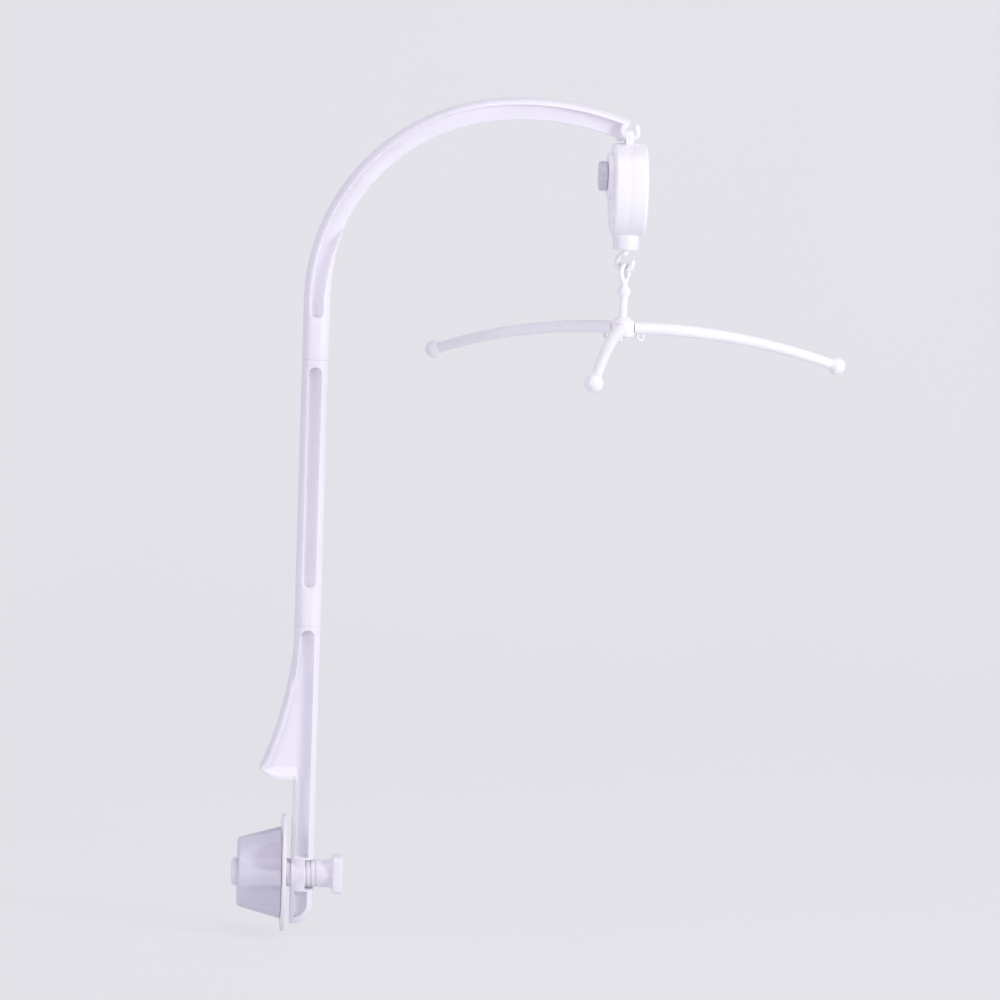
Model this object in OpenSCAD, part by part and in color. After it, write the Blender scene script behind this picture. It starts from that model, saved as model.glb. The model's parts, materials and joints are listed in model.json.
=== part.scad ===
// Crib mobile: a three-piece plug-together stand that clamps to a crib rail, a wind-up
// music box that hangs from its tip, and a three-armed spreader for toys.
// X runs from the rail towards the mobile, -Y is the front, Z is up, all in millimetres.
// The origin is the middle of the flat face under the lip, which rests on the rail.

/* [Stand arm] */
// Width of the arm seen from the front
arm_w = 20.4; // [19.4:0.2:22.4]
// Depth of the arm from front to back
arm_d = 24; // [23:0.5:28]
// Radius of the arm's long rounded edges
arm_round = 9; // [7:0.5:9.4]
// Width of the long channels in the front and the back
channel_w = 9.6; // [9:0.2:12]
// Thickness of the web between the two channels
web_t = 10; // [8:0.5:12]
// Rail rest up to the lower plug joint
lower_len = 121; // [100:1:150]
// Lower plug joint up to the upper plug joint
middle_len = 208; // [150:0.5:300]
// Upper plug joint up to where the arch begins
top_len = 45.5; // [44:0.5:70]
// Length of the plain sleeve above the lower plug joint
sleeve_len = 30; // [30:1:40]
// Length of the plain sleeve above the upper plug joint
top_sleeve_len = 33; // [30:1:38]
// Plain stretch between the middle arm's channels and the joint above them
channel_margin = 6; // [3:0.5:10]
// Plain stretch between the lower arm's recess and the joint above it
recess_margin = 3.8; // [3:0.2:8]
// Length of each plug tenon
tenon_len = 26; // [18:1:27]
// Width of each plug tenon
tenon_w = 13; // [11:0.5:14]
// Depth of each plug tenon
tenon_d = 16.6; // [14:0.2:18]
// Play between a tenon and its socket, on each side
plug_gap = 0.15; // [0.05:0.05:0.3]

/* [Arch] */
// Outer radius of the main bend
arch_r = 161.8; // [150:1:190]
// Angle of the main bend
arch_sweep = 82.5; // [78:0.5:86]
// Outer radius of the flatter crown that follows it
crown_r = 223; // [200:1:260]
// Angle of the crown
crown_sweep = 28.6; // [26:0.2:31]
// Height of the arm's section over the crown
crown_h = 17; // [15:0.5:18.6]
// Angle over which the inner rim runs out
rim_runout = 27; // [20:1:35]
// Depth of the slanted notch behind the beak
beak_len = 4.6; // [3:0.2:6]
// Radius of the jaw's rounded pad at the end of the channel
jaw_r = 7.8; // [6.5:0.2:9]
// Radius of the finger that carries the music box
finger_r = 2.6; // [2:0.1:3.2]
// Inside radius of the finger's bend
finger_bend = 1; // [0.6:0.1:1.5]
// Backward lean of the finger's tip
finger_lean = 12; // [6:1:14]
// Straight length of the finger's tip
finger_tip = 4.3; // [3.5:0.1:6]

/* [Rail lip and clamp end] */
// Reach of the lip from the arm's centre line
lip_reach = 34; // [30:0.5:42]
// Radius of the lip's tip
lip_nose = 2; // [1.5:0.1:2.4]
// Height of the middle of the lip's tip over the rail rest
lip_tip = 8.5; // [7.5:0.5:10]
// Radius of the lip's rounded underside
lip_belly = 24; // [20:0.5:26]
// Wall of the lip under its recess and beside the rail
lip_wall = 3; // [2.4:0.2:4]
// Depth of the flared web that carries the lip
flare_d = 20; // [18:0.5:22]
// Wall of the flare beside its recess
flare_wall = 5; // [4:0.2:6]
// Height of the ramp that closes the recess over the lip
lip_ramp = 9.6; // [7:0.2:10]
// Arm's centre line to the face that grips the rail
grip_inset = 7.6; // [7:0.2:8]
// Rail rest down to the clamp bolt
clamp_drop = 75; // [66:1:100]
// Clamp bolt down to the end of the arm
foot_len = 40; // [36:0.5:45]
// Radius of the foot's outer corner
foot_round = 17; // [14:0.5:18]
// Diameter of the boss round the bolt
boss_d = 26.4; // [25.8:0.2:28]
// Right end of the boss, from the arm's centre line
boss_end = 3.2; // [2:0.2:5]

/* [Clamp bolt] */
// Diameter of the bolt
bolt_d = 22.4; // [20:0.2:22.4]
// Height of the bolt over its two flats
bolt_flats = 21.4; // [18:0.2:21.4]
// Pitch of the bolt's thread
thread_pitch = 3.8; // [3:0.1:4.5]
// Depth of the thread's grooves
thread_depth = 1.1; // [0.8:0.1:1.4]
// Width of each thread groove
groove_w = 1.6; // [1:0.1:2]
// Arm's right side to the bolt's head
bolt_reach = 14.8; // [10:0.2:20]
// Thickness of the bolt's head
head_t = 7.6; // [5:0.2:10]
// Side of the bolt's square head
head_w = 28.4; // [26:0.2:32]
// Bolt's end beyond the knob
bolt_end = 4.6; // [2:0.2:7]
// Play round the bolt
bolt_gap = 0.2; // [0.1:0.05:0.4]

/* [Pressure plate and knob] */
// Diameter of the pressure plate
plate_d = 92; // [80:1:100]
// Thickness of the pressure plate
plate_t = 3.2; // [2.6:0.2:4.5]
// Gap between the plate and the arm as shown
grip_gap = 4.6; // [4.6:0.2:12]
// Outer diameter of the plate's locating ring
ring_d = 40; // [36:1:44]
// Wall of the locating ring
ring_wall = 2; // [1.6:0.2:2.6]
// Height of the locating ring
ring_h = 4; // [3:0.5:6]
// Running gap between the plate and the knob
knob_gap = 0.3; // [0.2:0.05:0.5]
// Length of the knob
knob_len = 34; // [28:0.5:38]
// Diameter of the knob beside the plate
knob_d = 75.5; // [72:0.5:78]
// Diameter of the knob's outer face
knob_face_d = 55; // [54.6:0.2:58]
// Radius of the knob's outer edge
knob_edge = 3; // [2:0.5:4]
// Number of scallops round the knob
scallops = 6; // [5:1:7]
// Radius of each scallop
scallop_r = 14.5; // [12:0.5:15]
// Distance of each scallop's centre from the bolt
scallop_offset = 41.5; // [41:0.1:41.6]

/* [Music box case] */
// Diameter of the case
case_d = 72; // [70:0.5:80]
// Depth of the back half
back_depth = 12.6; // [12:0.2:16]
// Depth of the front half
front_depth = 14; // [13.6:0.2:17]
// Wall of the case
case_wall = 2; // [1.6:0.1:2.2]
// Radius of the case's edges
case_edge = 3; // [2:0.5:3.5]
// Bulge of the front face
front_bulge = 1.5; // [0.5:0.1:2.5]
// Gap between the finger and the top of the case
case_top_gap = 1.6; // [1.2:0.1:4]
// Width of the bail strap
bail_w = 6.2; // [5:0.1:7]
// Thickness of the bail strap
bail_t = 3.1; // [2.4:0.1:3.4]
// Gap between the bail and the finger
bail_gap = 0.3; // [0.2:0.05:0.5]
// Gap on each side of the bail on the finger
bail_side = 0.5; // [0.4:0.05:0.8]
// Diameter of the neck under the case
neck_d = 20.3; // [18:0.2:22]
// Length of the neck under the case
neck_len = 10.8; // [8:0.2:14]
// Height of the key axis over the middle of the case
key_rise = 10; // [9.6:0.1:10.4]
// Radius of the raised pad round the key
pad_r = 18.4; // [17:0.2:20]
// Height of the raised pad
pad_h = 3.4; // [2:0.2:6]
// Diameter of the winding key
key_d = 23; // [20:0.5:28]
// Depth of the winding key
key_h = 6.2; // [5:0.2:12]
// Number of flutes round the key
key_flutes = 10; // [8:1:14]

/* [Hook, link and spreader] */
// Turn of the output hook and of what hangs on it
hook_turn = 30; // [0:5:60]
// Centre-line radius of the open ring hook
hook_r = 6.3; // [5.8:0.1:8]
// Radius of the hook's wire
hook_wire = 2.3; // [1.8:0.1:2.4]
// Neck down to the ring of the hook
hook_stem = 3.8; // [3:0.1:6]
// Sweep of the hook's ring
hook_sweep = 275; // [260:1:285]
// Centre-line radius of the link's eye
eye_r = 6.3; // [6:0.1:7]
// Radius of the eye's wire
eye_wire = 2; // [1.3:0.1:2.2]
// Gap between the hook and the eye
eye_gap = 0.4; // [0.3:0.05:0.6]
// Diameter of the bead on the link
bead_d = 10.4; // [8:0.2:12]
// Eye down to the middle of the bead
bead_drop = 8.2; // [7:0.2:11]
// Diameter of the link's stem
stem_d = 6.2; // [5:0.2:7]
// Bead down to the arms' level on the hub
hub_drop = 28.6; // [24:0.2:40]
// Diameter of the hub
hub_d = 18; // [16:0.5:22]
// Height of the hub over the arms' level
hub_up = 6; // [5.5:0.2:9]
// Depth of the hub under the arms' level
hub_down = 7; // [6:0.2:9]
// Hub axis to the middle of each ball
spread_r = 186; // [140:1:220]
// Radius of the arms' downward curve
droop_r = 600; // [450:10:900]
// Diameter of each arm
tube_d = 9.2; // [8:0.2:10]
// Diameter of each ball end
ball_d = 14.4; // [12:0.2:18]
// Direction of the front arm
front_angle = -101; // [-120:0.5:-60]
// Hub axis to each string eyelet
eyelet_out = 15; // [13.5:0.5:24]
// Outer radius of an eyelet
eyelet_r = 3.6; // [3:0.1:4.5]
// Radius of the string hole in an eyelet
eyelet_hole = 1.7; // [1.2:0.1:2]
// Thickness of an eyelet
eyelet_t = 2.4; // [2:0.2:3]

/* [Movement] */
// Thickness of the bedplate and the bridge
frame_t = 1.2; // [1:0.1:1.4]
// Back wall to the bedplate
post_h = 2; // [1.9:0.1:2.2]
// Tooth module of the wheels
tooth_m = 0.7; // [0.66:0.01:0.7]
// Teeth on the spring barrel
barrel_teeth = 46; // [44:1:46]
// Teeth on the cylinder's pinion
cylinder_teeth = 17; // [16:1:18]
// Teeth on the small pinions
pinion_teeth = 10; // [10:1:11]
// Teeth on the pinion that drives the crown wheel
drive_teeth = 15; // [14:1:15]
// Teeth on the crown wheel
crown_teeth = 18; // [18:1:20]
// Teeth on the governor wheel
governor_teeth = 30; // [24:1:36]
// Radius of the barrel's drum
drum_r = 13.5; // [12:0.1:13.6]
// Radius of the pinned cylinder
cylinder_r = 6.5; // [5.5:0.1:6.5]
// Radius of the thin axles
axle_r = 0.8; // [0.6:0.05:1]
// Play round each axle
axle_gap = 0.08; // [0.04:0.01:0.12]
// Radius of the winding arbor
arbor_r = 2; // [1.6:0.1:2.2]
// Number of comb slots
comb_slots = 12; // [8:1:14]

/* [Hidden] */
$fn = 64;

WHITE = "white";
SHADE = "lavender";
STEEL = "silver";
BRASS = "goldenrod";

// ---- stand: places in the arm's own frame, whose X = 0 is the arm's centre line ----
rim_w = (arm_w - channel_w) / 2;
nose_x = -lip_reach + lip_nose;
belly_x = nose_x + sqrt(pow(lip_belly - lip_nose, 2) - pow(lip_belly - lip_tip, 2));
rest_flat = -grip_inset - belly_x;
arm_x = rest_flat / 2 + grip_inset;
joint1_z = lower_len;
joint2_z = lower_len + middle_len;
arch_z = joint2_z + top_len;
foot_z = -clamp_drop - foot_len;

// the lip's flare is an arc that leaves the arm's edge and meets the tip's circle
flare_edge = -arm_w / 2 + 0.4;
flare_z = lower_len + 5;
flare_h = flare_z - lip_tip;
flare_a = nose_x - flare_edge;
flare_r = (flare_a * flare_a + flare_h * flare_h - lip_nose * lip_nose) / (2 * (lip_nose - flare_a));
flare_end = atan2(flare_h, flare_a + flare_r);

// the lip's underside is an arc that touches the rail rest and meets the tip's circle
belly_turn = atan2(lip_belly - lip_tip, belly_x - nose_x);

// the recess's outer wall is two arcs, which meet at recess_corner
wall_r = flare_r + flare_wall;
wall_belly = lip_belly - lip_wall;
wall_step = [belly_x, lip_belly] - [flare_edge - flare_r, flare_z];
wall_span = norm(wall_step);
wall_along = (wall_r * wall_r - wall_belly * wall_belly + wall_span * wall_span) / (2 * wall_span);
wall_turn = atan2(wall_step[1], wall_step[0]) - acos(wall_along / wall_r);
recess_corner = [flare_edge - flare_r, flare_z] + wall_r * [cos(wall_turn), sin(wall_turn)];
belly_start = 180 + atan2(lip_belly - recess_corner[1], belly_x - recess_corner[0]);

// the arch: the bend's centre, then the crown's centre on the line through the junction
bend_c = [-arm_w / 2 + arch_r, arch_z];
crown_c = bend_c + (crown_r - arch_r) * [cos(arch_sweep), -sin(arch_sweep)];
tip_angle = 180 - arch_sweep - crown_sweep;
beak = crown_c + crown_r * [cos(tip_angle), sin(tip_angle)];
jaw_x = beak[0] - beak_len;
inner_crown = crown_r - crown_h;
jaw_z = crown_c[1] + sqrt(pow(inner_crown, 2) - pow(jaw_x - crown_c[0], 2));
mouth_z = beak[1] - 1.7 * beak_len;

// the finger leaves the jaw just above the arm's inner edge
finger_z = jaw_z + finger_r + 0.2;
finger_turn = finger_bend + finger_r;
finger_x = jaw_x + bail_w + 2 * bail_side - finger_bend + finger_r * (1 / cos(finger_lean) - 1);
hang_x = jaw_x + bail_side + bail_w / 2;

// ---- clamp: X measured from the arm's centre line ----
boss_start = -grip_inset - 1;
plate_x = -grip_inset - grip_gap;
knob_x = plate_x - plate_t - knob_gap;
knob_out = knob_x - knob_len;
head_x = arm_w / 2 + bolt_reach;
bolt_bore = bolt_d / 2 + bolt_gap;
boss_clear = 0.4;
rim_gap = bolt_d + 1;
thread_end = arm_w / 2 + 4.6;
thread_start = 4;

// ---- music box: the case's own frame, X along the key's axis, Z = 0 at its middle ----
case_r = case_d / 2;
case_z = finger_z - finger_r - case_top_gap - case_r;
hole_r = finger_r + bail_gap;
neck_z = -case_r - neck_len;
neck_top = -case_r + case_wall + 1;
inner_r = case_r - case_wall;
back_in = -back_depth + case_wall;
front_in = front_depth - case_wall;
post_r = 3;
post_ring = inner_r - post_r - 2;
post_angles = [35, 145, 215, 305];
screw_r = 1.25;
pry_angle = 112.5;
pry_len = 4.2;
pry_w = 2;
pry_depth = 1;

// ---- movement: flat places are [Y, Z], thickness runs along X ----
plate_back = back_in + post_h;
plate_front = plate_back + frame_t;
bridge_front = front_in - 0.4;
bridge_back = bridge_front - frame_t;
pitch_barrel = barrel_teeth * tooth_m / 2;
pitch_small = pinion_teeth * tooth_m / 2;
pitch_cylinder = cylinder_teeth * tooth_m / 2;
pitch_drive = drive_teeth * tooth_m / 2;
barrel_at = [0, key_rise];
drive_at = barrel_at + [0, -(pitch_barrel + pitch_small)];
governor_dir = -37;
governor_at = barrel_at + (pitch_barrel + pitch_small) * [cos(governor_dir), sin(governor_dir)];
cylinder_dir = -140.4;
cylinder_at = barrel_at + (pitch_barrel + pitch_cylinder) * [cos(cylinder_dir), sin(cylinder_dir)];
rim_x = plate_front + 0.6;
rim_t = 1.8;
drum_x = rim_x + rim_t;
drum_len = 9;
cover_t = 1;
drum_wall = 0.8;
crown_pinion_x = 5.4;
crown_pinion_t = 1.8;
crown_pitch_z = drive_at[1] - pitch_drive;
addendum = 0.75 * tooth_m;
dedendum = 1.05 * tooth_m;
crown_rib_h = 2 * addendum + 0.5;
crown_disc_z = crown_pitch_z + addendum - crown_rib_h;
crown_r_in = 4.6;
crown_r_out = 8;
governor_r = 7.2;
governor_x = 6;
governor_t = 1.2;
fan_r = 1.2;
fan_at = [governor_at[0] + governor_r + 0.3 + fan_r, governor_x + governor_t / 2];
fan_low = -9;
fan_high = 9;
vane_w = 3.3;
vane_low = governor_at[1] + governor_r - 1.2;
lug_t = 1.3;
lug_w = 4;
comb_gap = 0.3;
pin_h = 0.5;
pin_r = 0.3;
cylinder_x = drum_x + 0.5;
cylinder_len = bridge_back - 0.6 - cylinder_x;
comb_t = 1;
comb_top = cylinder_at[1] - cylinder_r - pin_h - comb_gap;
comb_low = comb_top - 12.2;
block_top = comb_top - 7.6;
block_w = 3.4;
pillar_r = 1.5;
pillars = [[-9.6, -11.2], [19, -11.6], [-17, 18], [17, 18]];
mounts_at = [[-20, 12], [20, 12], [7.4, -11]];
frame_r = 24.3;
frame_low = drive_at[1] - 3.6;
flange_r = 4.4;
flange_t = 1.4;
spindle_r = 2.5;
spindle_gap = 0.12;
spindle_top = crown_disc_z - 1.6;

// ---- hook and link: Z in the case's frame ----
hook_z = neck_z - hook_stem - hook_r;
strand_z = hook_z - hook_r;
eye_z = strand_z + hook_wire + eye_gap + eye_wire - eye_r;
bead_z = eye_z - eye_r - bead_drop;
hub_z = bead_z - hub_drop;
link_neck_r = 2.7;
link_foot_r = 5.4;
link_foot_t = 2.4;
link_gap = 0.1;
socket_r = 3.2;
socket_depth = 3.4;
socket_gap = 0.05;
arm_angles = [front_angle, front_angle + 120, front_angle + 240];
droop_end = asin(spread_r / droop_r);

// ---- helpers ----

// points on an arc about c, from angle a to angle b in n steps
function arc(c, r, a, b, n) = [for (i = [0:n]) c + r * [cos(a + (b - a) * i / n), sin(a + (b - a) * i / n)]];

// corner points of a rectangle w by d with corners of radius r, centred
function rounded(w, d, r) = concat(
    arc([w / 2 - r, d / 2 - r], r, 0, 90, 8), arc([-w / 2 + r, d / 2 - r], r, 90, 180, 8),
    arc([-w / 2 + r, -d / 2 + r], r, 180, 270, 8), arc([w / 2 - r, -d / 2 + r], r, 270, 360, 8));

// points on a ring about c whose radius runs straight from r0 to r1 between two angles
function spiral_arc(c, r0, r1, a, b, n) =
    [for (i = [0:n]) c + (r0 + (r1 - r0) * i / n) * [cos(a + (b - a) * i / n), sin(a + (b - a) * i / n)]];

// outline of a toothed wheel: four points for each straight-sided tooth
function wheel_points(n, m, phase) = [for (i = [0:n - 1]) for (k = [0:3])
    let (pitch = 360 / n, root = m * n / 2 - dedendum, tip = m * n / 2 + addendum,
         half = k == 0 || k == 3 ? 0.29 : 0.12, side = k < 2 ? -1 : 1,
         rad = k == 1 || k == 2 ? tip : root, a = phase + pitch * (i + side * half))
    rad * [cos(a), sin(a)]];

// phase of a follower wheel that meshes with a driver whose tooth lies on its 0 line
function mesh_phase(dir, n1, n2) =
    let (delta = (360 / n1) * (round(dir / (360 / n1))) - dir) dir + 180 + 180 / n2 - delta * n1 / n2;

module in_arm() { translate([arm_x, 0, 0]) children(); }
module in_case() { translate([arm_x + hang_x, 0, case_z]) children(); }

// lays flat [Y, Z] work so that its thickness runs along X
module on_x() { rotate([90, 0, 90]) children(); }

// prism of a flat [X, Z] outline between two depths
module slab(y0, y1) { translate([0, y1, 0]) rotate([90, 0, 0]) linear_extrude(y1 - y0) children(); }

module disc(at, r, x0, x1) { on_x() translate([at[0], at[1], x0]) cylinder(r = r, h = x1 - x0); }

module arm_section() { polygon(rounded(arm_w, arm_d, arm_round)); }

module tenon(z) {
    lead = 2;
    translate([0, 0, z]) linear_extrude(tenon_len - lead) polygon(rounded(tenon_w, tenon_d, 3));
    translate([0, 0, z + tenon_len - lead]) linear_extrude(lead)
        polygon(rounded(tenon_w - 1.4, tenon_d - 1.4, 2.3));
}

module socket(z) {
    translate([0, 0, z - 1]) linear_extrude(tenon_len + 1.6)
        polygon(rounded(tenon_w + 2 * plug_gap, tenon_d + 2 * plug_gap, 3 + plug_gap));
}

// front and back channels cut from an [X, Z] outline
module channels() {
    slab(-arm_d, -web_t / 2) children();
    slab(web_t / 2, arm_d) children();
}

module stadium(z0, z1) {
    r = channel_w / 2;
    polygon(concat(arc([0, z1 - r], r, 0, 180, 16), arc([0, z0 + r], r, 180, 360, 16)));
}

// ---- stand ----

// the flare's edge from a height down to an angle, drawn in by wall
function flare_arc(wall, top, last) = let (r = flare_r + wall)
    arc([flare_edge - flare_r, flare_z], r, -asin((flare_z - top) / r), last, 24);

// outline of the flare and lip from a height down to the rail rest, drawn in by wall
function flare_outline(wall, top) = concat(
    flare_arc(wall, top, -flare_end),
    arc([nose_x, lip_tip], lip_nose - wall, 180 - flare_end, 180 + belly_turn, 6),
    arc([belly_x, lip_belly], lip_belly - wall, 180 + belly_turn, 270, 14));

module lower_body() {
    top = lower_len - 1;
    translate([0, 0, foot_z]) linear_extrude(lower_len - foot_z) arm_section();
    slab(-flare_d / 2, flare_d / 2)
        polygon(concat(flare_outline(0, top), [[0, 0], [0, top]]));
}

module lower_recess() {
    r = channel_w / 2;
    boss_top = -clamp_drop + boss_d / 2 + boss_clear;
    inner = -grip_inset + lip_wall;
    polygon(concat(arc([0, lower_len - recess_margin - r], r, 0, 90, 8),
                   arc([0, lower_len - recess_margin - r], r, 90, 180, 8),
                   flare_arc(flare_wall, lower_len - recess_margin - r - 4, wall_turn),
                   arc([belly_x, lip_belly], wall_belly, belly_start, 270, 10),
                   [[inner, lip_wall], [inner, boss_top], [r, boss_top]]));
}

// the ramp that closes the recess over the lip, as a wedge on each side of the web
module lip_ramps() {
    edge = flare_d / 2 - 0.4;
    low = 0.8;
    for (side = [-1, 1])
        translate([-lip_reach + 2, 0, 0]) on_x()
            linear_extrude(lip_reach - 2.4 - grip_inset + lip_wall)
                polygon([[side * (web_t / 2 - 1), low], [side * edge, low],
                         [side * edge, low + 0.8], [side * (web_t / 2 - 1), lip_ramp + 1.4]]);
}

module foot_recess() {
    corner = [arm_w / 2 - foot_round, foot_z + foot_round];
    r = foot_round - rim_w;
    top = -clamp_drop - boss_d / 2 - boss_clear;
    inner = -grip_inset + lip_wall;
    polygon(concat([[inner, top]], arc(corner, r, -acos((inner - corner[0]) / r), 0, 10),
                   [[corner[0] + r, top]]));
}

module lower_arm() {
    color(WHITE) in_arm() {
        difference() {
            union() {
                difference() {
                    lower_body();
                    channels() lower_recess();
                    channels() foot_recess();
                }
                intersection() {
                    lip_ramps();
                    slab(-flare_d / 2, flare_d / 2)
                        polygon(concat(flare_outline(0.5, lower_len / 2), [[0, 0.5], [0, lower_len / 2]]));
                }
                on_x() translate([0, -clamp_drop, boss_start])
                    cylinder(d = boss_d, h = boss_end - boss_start);
            }
            // flat face that grips the rail
            translate([-arm_w, -arm_d, foot_z - 1]) cube([arm_w - grip_inset, 2 * arm_d, -foot_z + 1]);
            // rounded outer corner of the foot
            slab(-arm_d, arm_d) polygon(concat(
                arc([arm_w / 2 - foot_round, foot_z + foot_round], foot_round, -90, 0, 12),
                [[arm_w, foot_z + foot_round], [arm_w, foot_z - 1], [arm_w / 2 - foot_round, foot_z - 1]]));
            // the bolt's bore with its two flats, and the gap in the right rim
            on_x() translate([0, -clamp_drop, -arm_w]) intersection() {
                cylinder(r = bolt_bore, h = 2 * arm_w);
                translate([-arm_w, -bolt_flats / 2 - bolt_gap, 0])
                    cube([2 * arm_w, bolt_flats + 2 * bolt_gap, 2 * arm_w]);
            }
            translate([boss_end, -arm_d, -clamp_drop - rim_gap / 2]) cube([arm_w, 2 * arm_d, rim_gap]);
        }
        tenon(joint1_z);
    }
}

module middle_arm() {
    color(WHITE) in_arm() {
        difference() {
            translate([0, 0, joint1_z]) linear_extrude(middle_len) arm_section();
            channels() stadium(joint1_z + sleeve_len, joint2_z - channel_margin);
            socket(joint1_z);
        }
        tenon(joint2_z);
    }
}

module arch_body() {
    translate([0, 0, joint2_z]) linear_extrude(top_len) arm_section();
    translate([bend_c[0], 0, bend_c[1]]) rotate([90, 0, 0])
        rotate_extrude(angle = arch_sweep, start = 180 - arch_sweep)
            translate([arch_r - arm_w / 2, 0]) arm_section();
    translate([crown_c[0], 0, crown_c[1]]) rotate([90, 0, 0])
        rotate_extrude(angle = crown_sweep, start = tip_angle)
            translate([crown_r - arm_w / 2, 0]) arm_section();
}

// everything inside the arch's inner edge, which draws in from arm_w to crown_h
module arch_inside() {
    inner_bend = arch_r - crown_h;
    start = 175;
    polygon(concat(
        spiral_arc(bend_c, arch_r - arm_w - 0.2, inner_bend, start, 180 - rim_runout, 10),
        arc(bend_c, inner_bend, 180 - rim_runout, 180 - arch_sweep, 24),
        arc(crown_c, inner_crown, 180 - arch_sweep, tip_angle - 2, 12),
        [bend_c + [0, 20]]));
}

module arch_channel() {
    r = channel_w / 2;
    tip = tip_angle + 1;
    start_z = joint2_z + top_sleeve_len;
    floor_out = arch_r - rim_w;
    difference() {
        polygon(concat(
            arc([0, start_z + r], r, 270, 180, 8),
            arc(bend_c, floor_out, 180, 180 - arch_sweep, 32),
            arc(crown_c, crown_r - rim_w, 180 - arch_sweep, tip, 12),
            arc(crown_c, inner_crown - 2, tip, 180 - arch_sweep, 12),
            arc(bend_c, arch_r - crown_h - 2, 180 - arch_sweep, 178 - rim_runout, 24),
            spiral_arc(bend_c, arch_r - crown_h - 0.4, floor_out - channel_w, 180 - rim_runout, 180, 10),
            arc([0, start_z + r], r, 360, 270, 8)));
        translate([jaw_x + 3.2, mouth_z]) circle(r = jaw_r);
    }
}

// the finger's straight lengths run a little way over its slightly thinner bend
module finger() {
    back = 7;
    lap = 0.3;
    translate([jaw_x - back, 0, finger_z]) rotate([0, 90, 0])
        cylinder(r = finger_r, h = finger_x - jaw_x + back + lap);
    translate([finger_x, 0, finger_z + finger_turn]) rotate([90, 0, 0])
        rotate_extrude(angle = 90 + finger_lean, start = -90) translate([finger_turn, 0]) circle(r = finger_r - 0.05);
    translate([finger_x, 0, finger_z + finger_turn]) rotate([0, -finger_lean, 0])
        translate([finger_turn, 0, 0]) {
            translate([0, 0, -lap]) cylinder(r = finger_r, h = finger_tip + lap);
            translate([0, 0, finger_tip]) sphere(r = finger_r);
        }
}

module top_arm() {
    color(WHITE) in_arm() {
        difference() {
            arch_body();
            slab(-arm_d, arm_d) arch_inside();
            channels() arch_channel();
            socket(joint2_z);
            // upright end face of the jaw and the slanted mouth under the beak
            slab(-arm_d, arm_d) polygon([[jaw_x, jaw_z - 20], [jaw_x, mouth_z], beak,
                                         [beak[0] + 5, beak[1] + 8], [beak[0] + 30, jaw_z - 20]]);
        }
        finger();
    }
}

// ---- clamp ----

// half outline of the threaded bolt: grooves at the thread's pitch, then a plain shank
function bolt_profile(len, threaded) = let (r = bolt_d / 2, n = floor((threaded - thread_start) / thread_pitch)) concat(
    [[0, 0], [r - 1.9, 0], [r - 0.2, 2]],
    [for (i = [0:n - 1]) for (k = [0:3])
        [r - (k == 1 || k == 2 ? thread_depth : 0),
         thread_start + i * thread_pitch + [0, groove_w * 0.35, groove_w * 0.65, groove_w][k]]],
    [[r, len], [0, len]]);

module clamp_bolt() {
    start = knob_out - bolt_end;
    len = head_x - start;
    color(WHITE) in_arm() translate([0, 0, -clamp_drop]) {
        intersection() {
            on_x() translate([0, 0, start]) rotate_extrude()
                polygon(bolt_profile(len, thread_end - start));
            translate([start - 1, -bolt_d, -bolt_flats / 2]) cube([len + 2, 2 * bolt_d, bolt_flats]);
        }
        on_x() translate([0, 0, head_x]) linear_extrude(head_t) polygon(rounded(head_w, head_w, 3));
    }
}

module pressure_plate() {
    r = plate_d / 2;
    color(WHITE) in_arm() translate([0, 0, -clamp_drop]) on_x() {
        difference() {
            translate([0, 0, plate_x - plate_t]) rotate_extrude() polygon(concat(
                [[0, 0], [r - 1, 0]], arc([r - 1, 1], 1, -90, 0, 4),
                arc([r - 1, plate_t - 1], 1, 0, 90, 4), [[0, plate_t]]));
            translate([0, 0, plate_x - plate_t - 1]) cylinder(r = bolt_bore, h = plate_t + 2);
        }
        translate([0, 0, plate_x - plate_t - ring_h]) difference() {
            cylinder(d = ring_d, h = ring_h + 0.5);
            translate([0, 0, -1]) cylinder(r = ring_d / 2 - ring_wall, h = ring_h + 3);
        }
    }
}

module clamp_knob() {
    r0 = knob_face_d / 2;
    r1 = knob_d / 2;
    groove = 0.3;
    color(SHADE) in_arm() translate([0, 0, -clamp_drop]) on_x() difference() {
        translate([0, 0, knob_out]) rotate_extrude() polygon(concat(
            [[0, 0]], arc([r0 - knob_edge, knob_edge], knob_edge, -90, -14, 8),
            [[r1 - 0.6, knob_len - 1], [r1 - 1.2, knob_len], [0, knob_len]]));
        translate([0, 0, knob_out - 1]) cylinder(r = bolt_bore, h = knob_len + 2);
        for (i = [0:scallops - 1]) rotate([0, 0, (i + 0.5) * 360 / scallops - 2])
            translate([scallop_offset, 0, knob_out - 1]) cylinder(r = scallop_r, h = knob_len + 2);
        // groove for the plate's locating ring
        translate([0, 0, knob_x - ring_h + knob_gap - groove]) difference() {
            cylinder(r = ring_d / 2 + groove, h = ring_h + 1);
            translate([0, 0, -1]) cylinder(r = ring_d / 2 - ring_wall - groove, h = ring_h + 3);
        }
    }
}

// ---- music box case ----

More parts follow.
